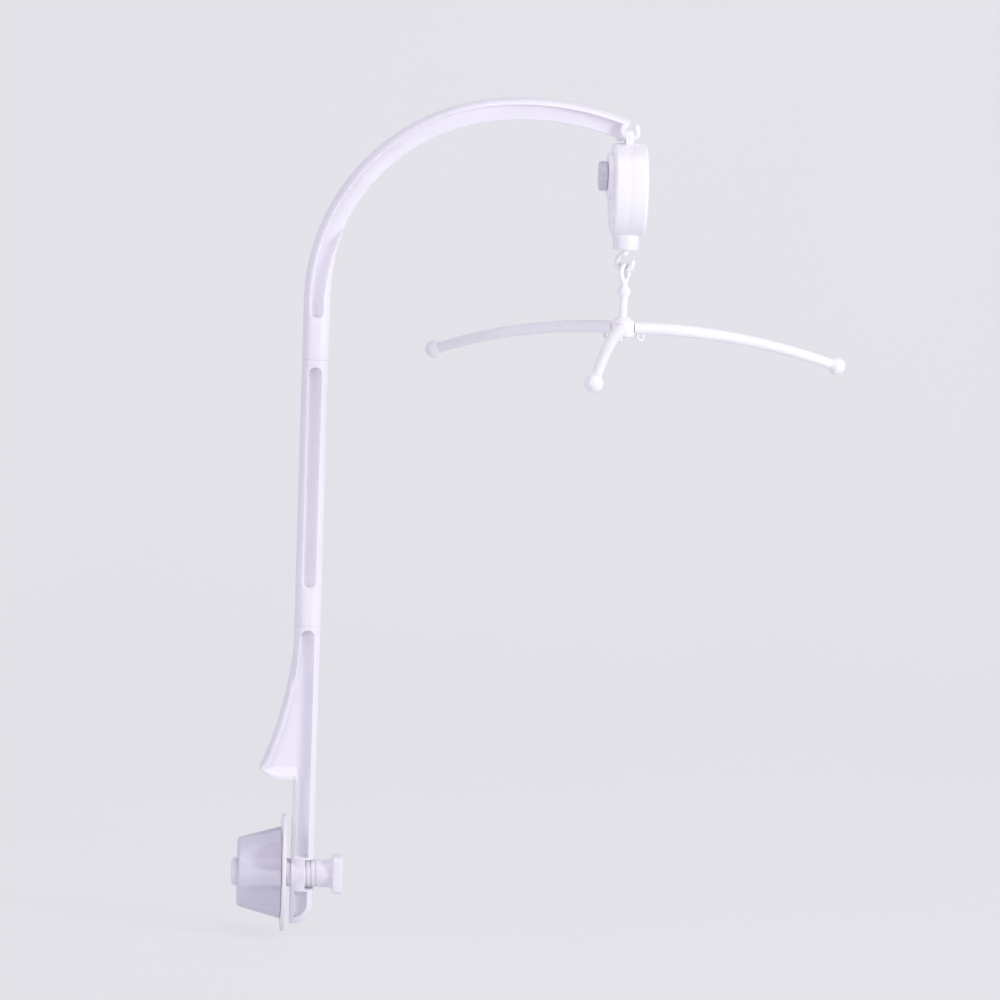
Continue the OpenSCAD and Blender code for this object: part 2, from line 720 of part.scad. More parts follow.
module hanger_bail() {
    outer = hole_r + bail_t;
    axis_z = finger_z - case_z;
    foot_top = case_r - case_wall - 1.4;
    foot_t = 2.2;
    foot_w = 3;
    color(WHITE) in_case() {
        difference() {
            union() {
                on_x() translate([0, axis_z, -bail_w / 2]) cylinder(r = outer, h = bail_w);
                translate([-bail_w / 2, -outer, foot_top - foot_t]) cube([bail_w, 2 * outer, axis_z - foot_top + foot_t]);
                for (side = [-1, 1]) translate([-bail_w / 2, side * (outer + foot_w / 2 - 0.5) - foot_w / 2 - 0.25,
                                                foot_top - foot_t])
                    cube([bail_w, foot_w + 0.5, foot_t]);
            }
            on_x() translate([0, axis_z, -bail_w]) cylinder(r = hole_r, h = 2 * bail_w);
            translate([-bail_w, -hole_r, foot_top - foot_t - 1]) cube([2 * bail_w, 2 * hole_r, axis_z - foot_top + foot_t + 1]);
        }
    }
}

// slots in the top of the case for the bail's two legs
module bail_slots() {
    gap = 0.15;
    for (side = [-1, 1])
        translate([-bail_w / 2 - gap, side * (hole_r + bail_t / 2) - bail_t / 2 - gap, case_r - 8])
            cube([bail_w + 2 * gap, bail_t + 2 * gap, 12]);
}

// half outline of a shell, radius first: outer skin with its edge, then the cavity
function back_profile() = concat(
    [[0, -back_depth]], arc([case_r - case_edge, -back_depth + case_edge], case_edge, -90, 0, 6),
    [[case_r, 0], [inner_r, 0], [inner_r, back_in + 1.5], [inner_r - 1.5, back_in], [0, back_in]]);

function front_profile() = concat(
    [[0, front_in], [inner_r - 3, front_in], [inner_r, front_in - 3], [inner_r, 0], [case_r, 0]],
    arc([case_r - case_edge, front_depth - case_edge], case_edge, 0, 80, 6),
    [for (i = [0:4]) let (r = (case_r - case_edge) * (1 - (i + 0.6) / 4.6))
        [max(r, 0), front_depth + front_bulge * (1 - pow(r / (case_r - case_edge), 2))]]);

module neck(x0, x1) {
    intersection() {
        union() {
            translate([0, 0, neck_z + 1]) cylinder(d = neck_d, h = neck_top - neck_z - 1);
            translate([0, 0, neck_z]) cylinder(r1 = neck_d / 2 - 1, r2 = neck_d / 2, h = 1);
        }
        translate([x0, -neck_d, neck_z - 1]) cube([x1 - x0, 2 * neck_d, neck_top - neck_z + 2]);
    }
}

module spindle_bore() {
    translate([0, 0, neck_z - 1]) cylinder(r = spindle_r + spindle_gap, h = neck_top - neck_z + 2);
}

module back_shell() {
    color(WHITE) in_case() difference() {
        union() {
            on_x() rotate_extrude() polygon(back_profile());
            on_x() translate([0, key_rise, -back_depth - pad_h]) cylinder(r = pad_r, h = pad_h + 1);
            for (a = post_angles) disc(post_ring * [cos(a), sin(a)], post_r, back_in - 0.5, 0);
            for (p = mounts_at) disc(p, 2.4, back_in - 0.5, plate_back);
            neck(-neck_d, 0);
        }
        for (a = post_angles) {
            disc(post_ring * [cos(a), sin(a)], screw_r + 0.2, -back_depth - 1, 1);
            disc(post_ring * [cos(a), sin(a)], 2.3, -back_depth - 1, -back_depth + 2.6);
        }
        for (p = mounts_at) disc(p, 0.9, back_in + 0.4, plate_back + 1);
        disc(barrel_at, arbor_r + 0.3, -back_depth - pad_h - 1, back_in + 1);
        bail_slots();
        spindle_bore();
    }
}

module front_shell() {
    color(WHITE) in_case() difference() {
        union() {
            on_x() rotate_extrude() polygon(front_profile());
            for (a = post_angles) disc(post_ring * [cos(a), sin(a)], post_r, 0, front_in + 0.5);
            neck(0, neck_d);
        }
        for (a = post_angles) disc(post_ring * [cos(a), sin(a)], screw_r + 0.05, -1, front_in - 2);
        bail_slots();
        spindle_bore();
        // shallow slot on the seam for prising the halves apart
        on_x() rotate([0, 0, pry_angle]) translate([case_r - pry_depth, -pry_w / 2, -1])
            cube([pry_depth + 2, pry_w, pry_len + 1]);
    }
}

module case_screws() {
    color(STEEL) in_case() for (a = post_angles) {
        at = post_ring * [cos(a), sin(a)];
        disc(at, 2.1, -back_depth + 1.2, -back_depth + 2.6);
        disc(at, screw_r, -back_depth + 2.5, 7);
    }
}

module winding_key() {
    r = key_d / 2;
    back = -back_depth - pad_h - 0.4;
    color(SHADE) in_case() on_x() difference() {
        translate([0, key_rise, back - key_h]) rotate_extrude() polygon(concat(
            [[0, 0]], arc([r - 1.2, 1.2], 1.2, -90, 0, 4), [[r, key_h - 0.5], [r - 0.5, key_h], [0, key_h]]));
        for (i = [0:key_flutes - 1]) translate([0, key_rise, back - key_h - 1])
            rotate([0, 0, i * 360 / key_flutes]) translate([r + 2.2, 0, 0]) cylinder(r = 3, h = key_h + 2);
        translate([0, key_rise, back - key_h + 2.5]) cylinder(r = arbor_r + 0.05, h = key_h);
    }
}

// ---- movement ----

module winding_arbor() {
    color(STEEL) in_case() {
        disc(barrel_at, arbor_r, -back_depth - pad_h - 0.4 - key_h + 2.6, bridge_back - 0.2);
        disc(barrel_at, arbor_r - 0.8, bridge_back - 0.4, bridge_front);
    }
}

module ratchet_wheel() {
    n = 14;
    r = 6;
    color(STEEL) in_case() on_x() translate([0, key_rise, back_in + 0.3]) difference() {
        linear_extrude(post_h - 0.6) polygon([for (i = [0:n - 1]) for (k = [0, 1])
            (k == 0 ? r : r - 1.1) * [cos(360 * (i + k * 0.2) / n), sin(360 * (i + k * 0.2) / n)]]);
        translate([0, 0, -1]) cylinder(r = arbor_r + 0.02, h = post_h + 1);
    }
}

module click() {
    pivot = barrel_at + [-9.2, 3];
    color(BRASS) in_case() {
        disc(pivot, 1.8, back_in + 0.3, plate_back - 0.3);
        disc(pivot, 0.7, back_in + 0.3, plate_front);
        on_x() translate([pivot[0], pivot[1], back_in + 0.3]) rotate([0, 0, -58])
            translate([0, -0.7, 0]) cube([4.2, 1.4, post_h - 0.6]);
    }
}

// flat outline of the frame plates: a round plate, cut straight above the crown wheel
module frame_outline() {
    intersection() {
        circle(r = frame_r);
        translate([-frame_r, frame_low]) square([2 * frame_r, 2 * frame_r]);
    }
    for (p = pillars) translate(p) circle(r = pillar_r + 1);
}

module axle_holes(x0, x1) {
    for (p = [drive_at, governor_at, cylinder_at]) disc(p, axle_r + axle_gap, x0 - 1, x1 + 1);
}

module bedplate() {
    block_y = cylinder_at[0] + comb_t / 2;
    color(STEEL) in_case() difference() {
        union() {
            on_x() translate([0, 0, plate_back]) linear_extrude(frame_t) frame_outline();
            // tab and block that carry the comb
            translate([plate_back, cylinder_at[0] - 2.4, comb_low]) cube([frame_t, 8, cylinder_at[1] - comb_low]);
            translate([plate_back, block_y, comb_low])
                cube([bridge_back - 1 - plate_back, block_w, block_top - comb_low]);
        }
        axle_holes(plate_back, plate_front);
        disc(barrel_at, arbor_r + axle_gap, plate_back - 1, plate_front + 1);
        disc(barrel_at + [-9.2, 3], 0.72, plate_back - 1, plate_front + 1);
        for (p = mounts_at) disc(p, 1, plate_back - 1, plate_front + 1);
        for (p = pillars) disc(p, 0.9, plate_back - 1, plate_front + 1);
        for (x = [0, 6]) translate([x, cylinder_at[0] + block_w + 2, comb_low + 2]) rotate([90, 0, 0])
            cylinder(r = 0.72, h = block_w + 4);
    }
}

module front_bridge() {
    color(STEEL) in_case() difference() {
        union() {
            on_x() translate([0, 0, bridge_back]) linear_extrude(frame_t) frame_outline();
            for (p = pillars) {
                disc(p, pillar_r, plate_front, bridge_front - 0.2);
                disc(p, 0.85, plate_back, bridge_front - 0.2);
            }
            // lugs that hold the governor's upright spindle
            for (z = [fan_low - lug_t, fan_high])
                translate([fan_at[1] - lug_w / 2, fan_at[0] - lug_w / 2, z])
                    cube([bridge_front - fan_at[1] + lug_w / 2, lug_w, lug_t]);
        }
        axle_holes(bridge_back, bridge_front);
        disc(barrel_at, arbor_r - 0.8 + axle_gap, bridge_back - 1, bridge_front + 1);
        translate([fan_at[1], fan_at[0], fan_low - lug_t - 1])
            cylinder(r = 0.68, h = fan_high - fan_low + 2 * lug_t + 2);
    }
}

module movement_screws() {
    color(STEEL) in_case() for (p = mounts_at) {
        disc(p, 1.9, plate_front, plate_front + 1);
        disc(p, 0.85, back_in + 0.6, plate_front + 0.5);
    }
}

module spring_barrel() {
    inner = drum_r - drum_wall;
    color(BRASS) in_case() on_x() translate([0, key_rise, 0]) difference() {
        union() {
            translate([0, 0, rim_x]) linear_extrude(rim_t) polygon(wheel_points(barrel_teeth, tooth_m, 0));
            translate([0, 0, drum_x - 0.5]) cylinder(r = drum_r, h = drum_len + 0.5);
        }
        translate([0, 0, drum_x]) cylinder(r = inner, h = drum_len + 1);
        translate([0, 0, rim_x - 1]) cylinder(r = arbor_r + axle_gap, h = drum_len);
    }
}

module barrel_cover() {
    color(BRASS) in_case() on_x() translate([0, key_rise, drum_x + drum_len]) difference() {
        cylinder(r = drum_r, h = cover_t);
        translate([0, 0, -1]) cylinder(r = arbor_r + axle_gap, h = cover_t + 2);
    }
}

// flat strip wound in a spiral from the arbor out to the drum's wall
module mainspring() {
    turns = 5;
    steps = 90;
    strip = 0.5;
    inner = arbor_r + axle_gap + 0.05;
    outer = drum_r - drum_wall - strip - 0.03;
    color(STEEL) in_case() on_x() translate([0, key_rise, drum_x + 0.2]) linear_extrude(drum_len - 0.4)
        polygon(concat(spiral_arc([0, 0], inner, outer, 0, 360 * turns, steps),
                       spiral_arc([0, 0], outer + strip, inner + strip, 360 * turns, 0, steps)));
}

module pin_cylinder() {
    columns = 7;
    pins = 24;
    color(BRASS) in_case() {
        on_x() translate([cylinder_at[0], cylinder_at[1], rim_x]) linear_extrude(rim_t)
            polygon(wheel_points(cylinder_teeth, tooth_m, mesh_phase(cylinder_dir, barrel_teeth, cylinder_teeth)));
        disc(cylinder_at, cylinder_r, cylinder_x, cylinder_x + cylinder_len);
        disc(cylinder_at, axle_r, plate_back, bridge_front);
        for (i = [0:pins - 1]) translate([cylinder_x + 1.4 + ((i * 5) % columns) * (cylinder_len - 2.8) / (columns - 1),
                                          cylinder_at[0], cylinder_at[1]])
            rotate([i * 360 / pins, 0, 0]) cylinder(r = pin_r, h = cylinder_r + pin_h, $fn = 6);
    }
}

module tone_comb() {
    slot = 0.35;
    color(STEEL) in_case() difference() {
        translate([cylinder_x, cylinder_at[0] - comb_t / 2, comb_low])
            cube([cylinder_len, comb_t, comb_top - comb_low]);
        for (i = [1:comb_slots]) translate([cylinder_x + i * cylinder_len / (comb_slots + 1) - slot / 2,
                                            cylinder_at[0] - comb_t, block_top + 0.6])
            cube([slot, 2 * comb_t, comb_top - block_top]);
        for (x = [0, 6]) translate([x, cylinder_at[0] + comb_t, comb_low + 2]) rotate([90, 0, 0])
            cylinder(r = 0.75, h = 2 * comb_t);
    }
}

module comb_screws() {
    head = 1.1;
    color(STEEL) in_case() for (x = [0, 6]) translate([x, cylinder_at[0] - comb_t / 2, comb_low + 2])
        rotate([-90, 0, 0]) {
            translate([0, 0, -head]) cylinder(r = 1.6, h = head);
            translate([0, 0, -0.5]) cylinder(r = 0.68, h = comb_t + block_w);
        }
}

module drive_shaft() {
    color(BRASS) in_case() {
        on_x() translate([drive_at[0], drive_at[1], rim_x]) linear_extrude(rim_t)
            polygon(wheel_points(pinion_teeth, tooth_m, mesh_phase(-90, barrel_teeth, pinion_teeth)));
        on_x() translate([drive_at[0], drive_at[1], crown_pinion_x]) linear_extrude(crown_pinion_t)
            polygon(wheel_points(drive_teeth, tooth_m, -90));
        disc(drive_at, axle_r, plate_back, bridge_front);
    }
}

module governor_wheel() {
    color(BRASS) in_case() {
        on_x() translate([governor_at[0], governor_at[1], rim_x]) linear_extrude(rim_t)
            polygon(wheel_points(pinion_teeth, tooth_m, mesh_phase(governor_dir, barrel_teeth, pinion_teeth)));
        on_x() translate([governor_at[0], governor_at[1], governor_x]) linear_extrude(governor_t)
            polygon([for (i = [0:2 * governor_teeth - 1])
                (i % 2 == 0 ? governor_r : governor_r - 0.5) * [cos(180 * i / governor_teeth), sin(180 * i / governor_teeth)]]);
        disc(governor_at, axle_r, plate_back, bridge_front);
    }
}

module governor_fan() {
    color(BRASS) in_case() translate([fan_at[1], fan_at[0], 0]) {
        translate([0, 0, fan_low]) cylinder(r = fan_r, h = fan_high - fan_low);
        translate([0, 0, fan_low - lug_t]) cylinder(r = 0.6, h = fan_high - fan_low + 2 * lug_t);
        translate([-0.3, -vane_w, vane_low]) cube([0.6, 2 * vane_w, fan_high - 0.6 - vane_low]);
    }
}

module crown_wheel() {
    disc_t = 1.6;
    color(BRASS) in_case() difference() {
        union() {
            translate([0, 0, crown_disc_z - disc_t]) cylinder(r = crown_r_out, h = disc_t);
            for (i = [0:crown_teeth - 1]) rotate([0, 0, (i + 0.5) * 360 / crown_teeth])
                translate([crown_r_in, -0.3, crown_disc_z - 0.3]) cube([crown_r_out - 0.2 - crown_r_in, 0.6, crown_rib_h + 0.3]);
        }
        translate([0, 0, crown_disc_z - disc_t - 1]) cylinder(r = spindle_r - 0.5, h = disc_t + 2);
    }
}

module output_spindle() {
    color(WHITE) in_case() {
        translate([0, 0, neck_z - hook_stem]) cylinder(r = spindle_r, h = spindle_top - neck_z + hook_stem);
        translate([0, 0, spindle_top - 0.5]) cylinder(r = spindle_r - 0.52, h = crown_disc_z - spindle_top + 0.9);
        translate([0, 0, neck_top + 0.3]) cylinder(r = flange_r, h = flange_t);
        translate([0, 0, hook_z]) rotate([0, 0, -hook_turn]) rotate([90, 0, 0])
            rotate_extrude(angle = hook_sweep, start = 90) translate([hook_r, 0]) circle(r = hook_wire);
        // rounded root and rounded tip of the hook
        translate([0, 0, hook_z + hook_r]) sphere(r = spindle_r - 0.1);
        translate([0, 0, hook_z]) rotate([0, 0, -hook_turn]) rotate([0, -(hook_sweep - 270), 0])
            translate([hook_r, 0, 0]) sphere(r = hook_wire);
    }
}

// ---- link and spreader ----

module hanger_link() {
    color(WHITE) in_case() {
        translate([0, 0, eye_z]) rotate([0, 0, 90 - hook_turn]) rotate([90, 0, 0])
            rotate_extrude() translate([eye_r, 0]) circle(r = eye_wire);
        translate([0, 0, bead_z]) cylinder(r = link_neck_r, h = eye_z - eye_r - bead_z);
        translate([0, 0, bead_z]) sphere(d = bead_d);
        translate([0, 0, hub_z - hub_down - 0.5]) cylinder(d = stem_d, h = bead_z - hub_z + hub_down + 0.5);
        intersection() {
            translate([0, 0, hub_z - hub_down + 2]) scale([1, 1, 0.8]) sphere(r = link_foot_r + 0.4);
            translate([-link_foot_r, -link_foot_r, hub_z - hub_down - link_foot_t - link_gap])
                cube([2 * link_foot_r, 2 * link_foot_r, link_foot_t]);
        }
    }
}

module spreader_hub() {
    r = hub_d / 2;
    cone = 3;
    color(WHITE) in_case() difference() {
        translate([0, 0, hub_z]) rotate_extrude() polygon([
            [0, -hub_down], [r - 2.4, -hub_down], [r - 0.6, -hub_down + 1.4], [r, -hub_down + 2.6],
            [r, hub_up - 1.4], [r - 0.8, hub_up], [r - 3, hub_up + cone * 0.6], [stem_d / 2 + 1.4, hub_up + cone],
            [0, hub_up + cone]]);
        translate([0, 0, hub_z - hub_down - 1]) cylinder(r = stem_d / 2 + link_gap, h = hub_down + hub_up + cone + 2);
        for (a = arm_angles) translate([0, 0, hub_z]) rotate([0, 0, a]) rotate([0, 90, 0])
            translate([0, 0, r - socket_depth]) cylinder(r = socket_r, h = socket_depth + 1);
    }
}

// one arm: a drooping tube with a ball end, a string eyelet and a spigot for the hub
module spreader_arm(angle) {
    r = hub_d / 2;
    eye_drop = droop_r - sqrt(droop_r * droop_r - eyelet_out * eyelet_out);
    color(WHITE) in_case() translate([0, 0, hub_z]) rotate([0, 0, angle]) {
        difference() {
            union() {
                translate([0, 0, -droop_r]) rotate([90, 0, 0])
                    rotate_extrude(angle = droop_end, start = 90 - droop_end)
                        translate([droop_r, 0]) circle(d = tube_d);
                translate([spread_r, 0, -droop_r + sqrt(droop_r * droop_r - spread_r * spread_r)]) sphere(d = ball_d);
                translate([eyelet_out, eyelet_t / 2, -eye_drop - tube_d / 2 - eyelet_r + 1.6]) rotate([90, 0, 0])
                    cylinder(r = eyelet_r, h = eyelet_t);
            }
            translate([0, 0, -hub_d]) cylinder(r = r + 0.05, h = 2 * hub_d);
            translate([eyelet_out, eyelet_t, -eye_drop - tube_d / 2 - eyelet_r + 1.6]) rotate([90, 0, 0])
                cylinder(r = eyelet_hole, h = 2 * eyelet_t);
        }
        translate([r - socket_depth + 0.2, 0, 0]) rotate([0, 90, 0])
            cylinder(r = socket_r - socket_gap, h = socket_depth + 1.8);
    }
}

module front_arm() { spreader_arm(arm_angles[0]); }
module right_arm() { spreader_arm(arm_angles[1]); }
module left_arm() { spreader_arm(arm_angles[2]); }

lower_arm();
middle_arm();
top_arm();
clamp_bolt();
pressure_plate();
clamp_knob();
hanger_bail();
front_shell();
back_shell();
case_screws();
winding_key();
winding_arbor();
ratchet_wheel();
click();
bedplate();
front_bridge();
movement_screws();
spring_barrel();
barrel_cover();
mainspring();
pin_cylinder();
tone_comb();
comb_screws();
drive_shaft();
governor_wheel();
governor_fan();
crown_wheel();
output_spindle();
hanger_link();
spreader_hub();
front_arm();
left_arm();
right_arm();
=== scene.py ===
"""Dressed model of a crib mobile: clamp-on stand, wind-up music box and three-armed spreader.

Lengths inside the shape functions are in millimetres, in the frame's own axes: X runs from the
rail towards the mobile, -Y is the front and Z is up. `Piece` turns them into metres.
"""

import json
import math

import bmesh
import bpy
import numpy as np
from mathutils import Matrix, Vector


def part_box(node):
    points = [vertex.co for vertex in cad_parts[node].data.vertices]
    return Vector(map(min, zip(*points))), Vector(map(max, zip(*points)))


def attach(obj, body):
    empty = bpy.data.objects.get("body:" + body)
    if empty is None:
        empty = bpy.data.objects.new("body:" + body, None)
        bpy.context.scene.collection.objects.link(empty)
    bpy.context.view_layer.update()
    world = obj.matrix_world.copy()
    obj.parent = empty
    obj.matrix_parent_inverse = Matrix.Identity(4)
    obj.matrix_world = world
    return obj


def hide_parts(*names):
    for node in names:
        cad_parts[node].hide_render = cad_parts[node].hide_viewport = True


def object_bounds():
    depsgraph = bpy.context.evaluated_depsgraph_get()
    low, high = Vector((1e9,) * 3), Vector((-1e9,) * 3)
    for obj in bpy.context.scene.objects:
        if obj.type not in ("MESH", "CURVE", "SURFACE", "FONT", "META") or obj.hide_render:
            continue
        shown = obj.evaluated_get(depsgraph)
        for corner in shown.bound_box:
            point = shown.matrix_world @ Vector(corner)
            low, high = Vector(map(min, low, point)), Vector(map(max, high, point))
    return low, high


bl_info = {
    "name": "Crib Mobile",
    "version": (1, 0, 0),
    "blender": (4, 5, 0),
    "location": "3D View > Sidebar > Crib Mobile",
    "description": "Builds the dressed stand, music box and spreader of a crib mobile",
    "category": "Add Mesh",
}

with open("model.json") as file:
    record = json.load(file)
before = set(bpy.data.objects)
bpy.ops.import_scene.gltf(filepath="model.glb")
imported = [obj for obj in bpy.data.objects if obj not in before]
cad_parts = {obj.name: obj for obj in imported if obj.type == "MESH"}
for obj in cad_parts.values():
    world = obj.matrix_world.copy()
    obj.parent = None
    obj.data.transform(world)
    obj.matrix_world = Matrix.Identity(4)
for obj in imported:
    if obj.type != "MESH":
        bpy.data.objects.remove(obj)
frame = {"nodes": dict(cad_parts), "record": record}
CAD_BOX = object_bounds()
MM = 0.001
SHARP = 38  # degrees between faces from which an edge stays sharp

# the plug joints: the plug's section, its socket's and its tip's scale, and their spare lengths
PLUG_W, PLUG_D, PLUG_ROUND = 13.0, 16.6, 3.0
SOCKET_SCALE, TIP_SCALE = 1.022, 0.91
SOCKET_SPARE, PLUG_LEAD = 0.6, 1.5

# the clamp: the bolt, the bore it runs in, and the ring and groove that join the plate and the knob
BOLT_R, BOLT_FLAT = 11.2, 10.7
BORE_R, BORE_FLAT = 11.4, 10.9
RING_IN, RING_OUT = 18.0, 20.0
GROOVE_IN, GROOVE_OUT, GROOVE_DEEP = 17.7, 20.3, 4.3

# the music box: the bail's hole round the finger, the screws' heads, and the spindle's flange
HOLE_GAP = 0.3
SCREW_HEAD_R, SCREW_SINK_R = 2.1, 2.3
SPINDLE_R, SPINDLE_HOLE_R, FLANGE_R = 2.5, 2.62, 4.4


def box(node):
    """Lowest and highest corner of a CAD node, in millimetres."""
    low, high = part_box(node)
    return np.array(low) / MM, np.array(high) / MM


# ---------------------------------------------------------------- places taken from the frame

MIDDLE_LOW, MIDDLE_HIGH = box("middle_arm")
LOWER_LOW = box("lower_arm")[0]
TOP_LOW, TOP_HIGH = box("top_arm")
BOLT_LOW, BOLT_HIGH = box("clamp_bolt")
PLATE_LOW, PLATE_HIGH = box("pressure_plate")
KNOB_LOW, KNOB_HIGH = box("clamp_knob")
BAIL_LOW, BAIL_HIGH = box("hanger_bail")
FRONT_LOW, FRONT_HIGH = box("front_shell")
BACK_LOW = box("back_shell")[0]
KEY_LOW, KEY_HIGH = box("winding_key")
SPINDLE_LOW, SPINDLE_HIGH = box("output_spindle")
LINK_LOW, LINK_HIGH = box("hanger_link")
HUB_LOW, HUB_HIGH = box("spreader_hub")
SCREWS_LOW, SCREWS_HIGH = box("case_screws")

ARM_X = (MIDDLE_LOW[0] + MIDDLE_HIGH[0]) / 2
ARM_W = MIDDLE_HIGH[0] - MIDDLE_LOW[0]
ARM_D = MIDDLE_HIGH[1] - MIDDLE_LOW[1]
JOINT_LOW = MIDDLE_LOW[2]
JOINT_HIGH = TOP_LOW[2]
TENON = MIDDLE_HIGH[2] - JOINT_HIGH
FOOT_Z = LOWER_LOW[2]
LIP_X = LOWER_LOW[0] - ARM_X
CLAMP_Z = (BOLT_LOW[2] + BOLT_HIGH[2]) / 2
HANG_X = (BAIL_LOW[0] + BAIL_HIGH[0]) / 2
CASE_R = FRONT_HIGH[1]
CASE_Z = FRONT_HIGH[2] - CASE_R
NECK_Z = FRONT_LOW[2]
KEY_R = (KEY_HIGH[2] - KEY_LOW[2]) / 2
KEY_Z = KEY_HIGH[2] - KEY_R


def slot_of(node):
    """Material slot that the record gives a CAD node."""
    for part in frame["record"]["subparts"]:
        if part["node"] == node:
            return part["material_slot"]
    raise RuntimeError(f"the record has no slot for {node}")


def body_of_node(node):
    """Name of the CAD body that holds a node."""
    for name, nodes in frame["record"]["behaviour"]["bodies"].items():
        if node in nodes:
            return name
    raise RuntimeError(f"no body holds {node}")


# ---------------------------------------------------------------- sizes and colours a user may change


def number(name, description, default, low, high, kind=bpy.props.FloatProperty):
    """A property that holds a number, with its least and greatest value."""
    return kind(name=name, description=description, default=default, min=low, max=high)


def tint(name, description, default):
    """A property that holds a colour."""
    return bpy.props.FloatVectorProperty(
        name=name, description=description, subtype="COLOR", default=default, min=0, max=1)


class StandSizes(bpy.types.PropertyGroup):
    """Shape of the plug-together stand, in millimetres"""

    edge_round: number("Edge radius", "Radius of the arm's long rounded edges", 9.0, 3, 9.5)
    channel: number("Channel width", "Width of the long channels", 9.6, 6, 13)
    web: number("Web", "Thickness left between the two channels", 10.0, 6, 14)
    sleeve: number("Sleeve", "Plain length above the lower plug joint", 30.0, 15, 60)
    top_sleeve: number("Top sleeve", "Plain length above the upper plug joint", 33.0, 15, 60)
    margin: number("Channel margin", "Plain length under the upper plug joint", 6.0, 2, 12)
    recess_margin: number("Recess margin", "Plain length under the lower plug joint", 3.8, 2, 12)
    crest: number("Channel crest", "Radius of the rims' edges along a channel", 1.1, 0.2, 2)
    joint_edge: number("Joint edge", "Radius of the edges that meet at a plug joint", 0.4, 0.1, 1)
    wall_blend: number("Channel edge", "Half width of the softened edge of a channel", 0.42, 0.1, 1)
    tip: number("Lip tip", "Radius of the lip's tip", 2.0, 1, 2.5)
    tip_height: number("Lip height", "Height of the lip's tip over the rail", 8.5, 6, 11)
    belly: number("Lip underside", "Radius of the lip's rounded underside", 24.0, 20, 28)
    lip_wall: number("Lip wall", "Wall under the lip's recess and beside the rail", 3.0, 2, 4)
    lip_ramp: number("Lip ramp", "Height of the ramp that closes the recess over the lip", 9.6, 6, 11)
    flare_start: number("Flare start", "Start of the flare's arc over the plug joint", 5.0, 2, 10)
    grip: number("Grip inset", "Arm's centre line to the face on the rail", 7.6, 5, 9)
    flare_edge: number("Flare edge", "Rounding of the flare's outer edge", 4.6, 1, 6)
    flare_half: number("Flare half depth", "Half the depth of the flared web", 10.0, 6, 12)
    flare_wall: number("Flare wall", "Wall beside the flare's recess", 5.0, 3, 6)
    foot_round: number("Foot radius", "Radius of the foot's outer corner", 17.0, 8, 20)
    boss: number("Boss diameter", "Boss round the clamp bolt", 26.4, 24, 30)
    rim_gap: number("Rim gap", "Height of the gap in the right rim beside the bolt", 23.4, 22, 28)
    boss_end: number("Boss end", "Right end of the boss from the centre line", 3.2, 1, 6)
    bend: number("Bend radius", "Outer radius of the arch's main bend", 161.8, 120, 200)
    bend_sweep: number("Bend sweep", "Degrees of the main bend", 82.5, 60, 89)
    crown: number("Crown radius", "Outer radius of the flatter crown", 223.0, 180, 300)
    crown_sweep: number("Crown sweep", "Degrees of the crown", 28.6, 15, 35)
    crown_height: number("Crown height", "Height of the arm's section over the crown", 17.0, 12, 20)
    rim_runout: number("Rim run-out", "Degrees over which the inner rim runs out", 27.0, 15, 40)
    beak: number("Beak", "Overhang of the beak past the jaw", 4.6, 2, 8)
    jaw: number("Jaw pad", "Radius of the pad at the end of the channel", 7.8, 5, 10)
    finger: number("Finger radius", "Radius of the finger that carries the music box", 2.6, 2, 4)
    finger_lean: number("Finger lean", "Degrees the finger's tip leans back", 12.0, 0, 20)


class ClampSizes(bpy.types.PropertyGroup):
    """Shape of the clamp, in millimetres"""

    pitch: number("Pitch", "Pitch of the bolt's thread", 3.8, 2, 6)
    thread: number("Thread depth", "Depth of the thread", 1.15, 0.5, 2)
    head: number("Head thickness", "Thickness of the bolt's square head", 7.6, 4, 12)
    edge: number("Moulded edge", "Radius of small moulded edges", 0.8, 0.2, 2)
    scallops: number("Scallops", "Scallops round the knob", 6, 4, 9, bpy.props.IntProperty)
    scallop: number("Scallop radius", "Radius of each scallop", 14.5, 8, 18)
    scallop_offset: number("Scallop offset", "Scallop centre from the bolt", 41.5, 38, 50)
    scallop_turn: number("Scallop turn", "Degrees from +Y to the middle of a lobe", -2.0, -30, 30)
    face: number("Knob face", "Diameter of the knob's outer face", 55.0, 45, 60)


class BoxSizes(bpy.types.PropertyGroup):
    """Shape of the music box, in millimetres"""

    edge: number("Case edge", "Radius of the case's edges", 3.0, 1, 6)
    bulge: number("Front bulge", "Bulge of the front face", 1.5, 0, 4)
    wall: number("Wall", "Wall of the case", 2.0, 1, 3)
    seam: number("Seam", "Rounding of each half at the seam", 0.22, 0.1, 1)
    pry_angle: number("Pry slot", "Degrees from +Y to the slot on the seam", 112.5, 0, 360)
    neck: number("Neck diameter", "Neck under the case", 20.3, 15, 26)
    pad: number("Pad radius", "Raised pad round the key", 18.4, 15, 24)
    pad_height: number("Pad height", "Height of the raised pad", 3.4, 1, 8)
    flutes: number("Key flutes", "Flutes round the winding key", 10, 6, 16, bpy.props.IntProperty)
    strap: number("Bail strap", "Thickness of the bail's strap", 3.1, 2, 4)
    hook: number("Hook radius", "Centre-line radius of the ring hook", 6.3, 5, 9)
    hook_wire: number("Hook wire", "Radius of the hook's wire", 2.3, 1.5, 3)
    hook_turn: number("Hook turn", "Degrees the hook is turned", 30.0, 0, 60)


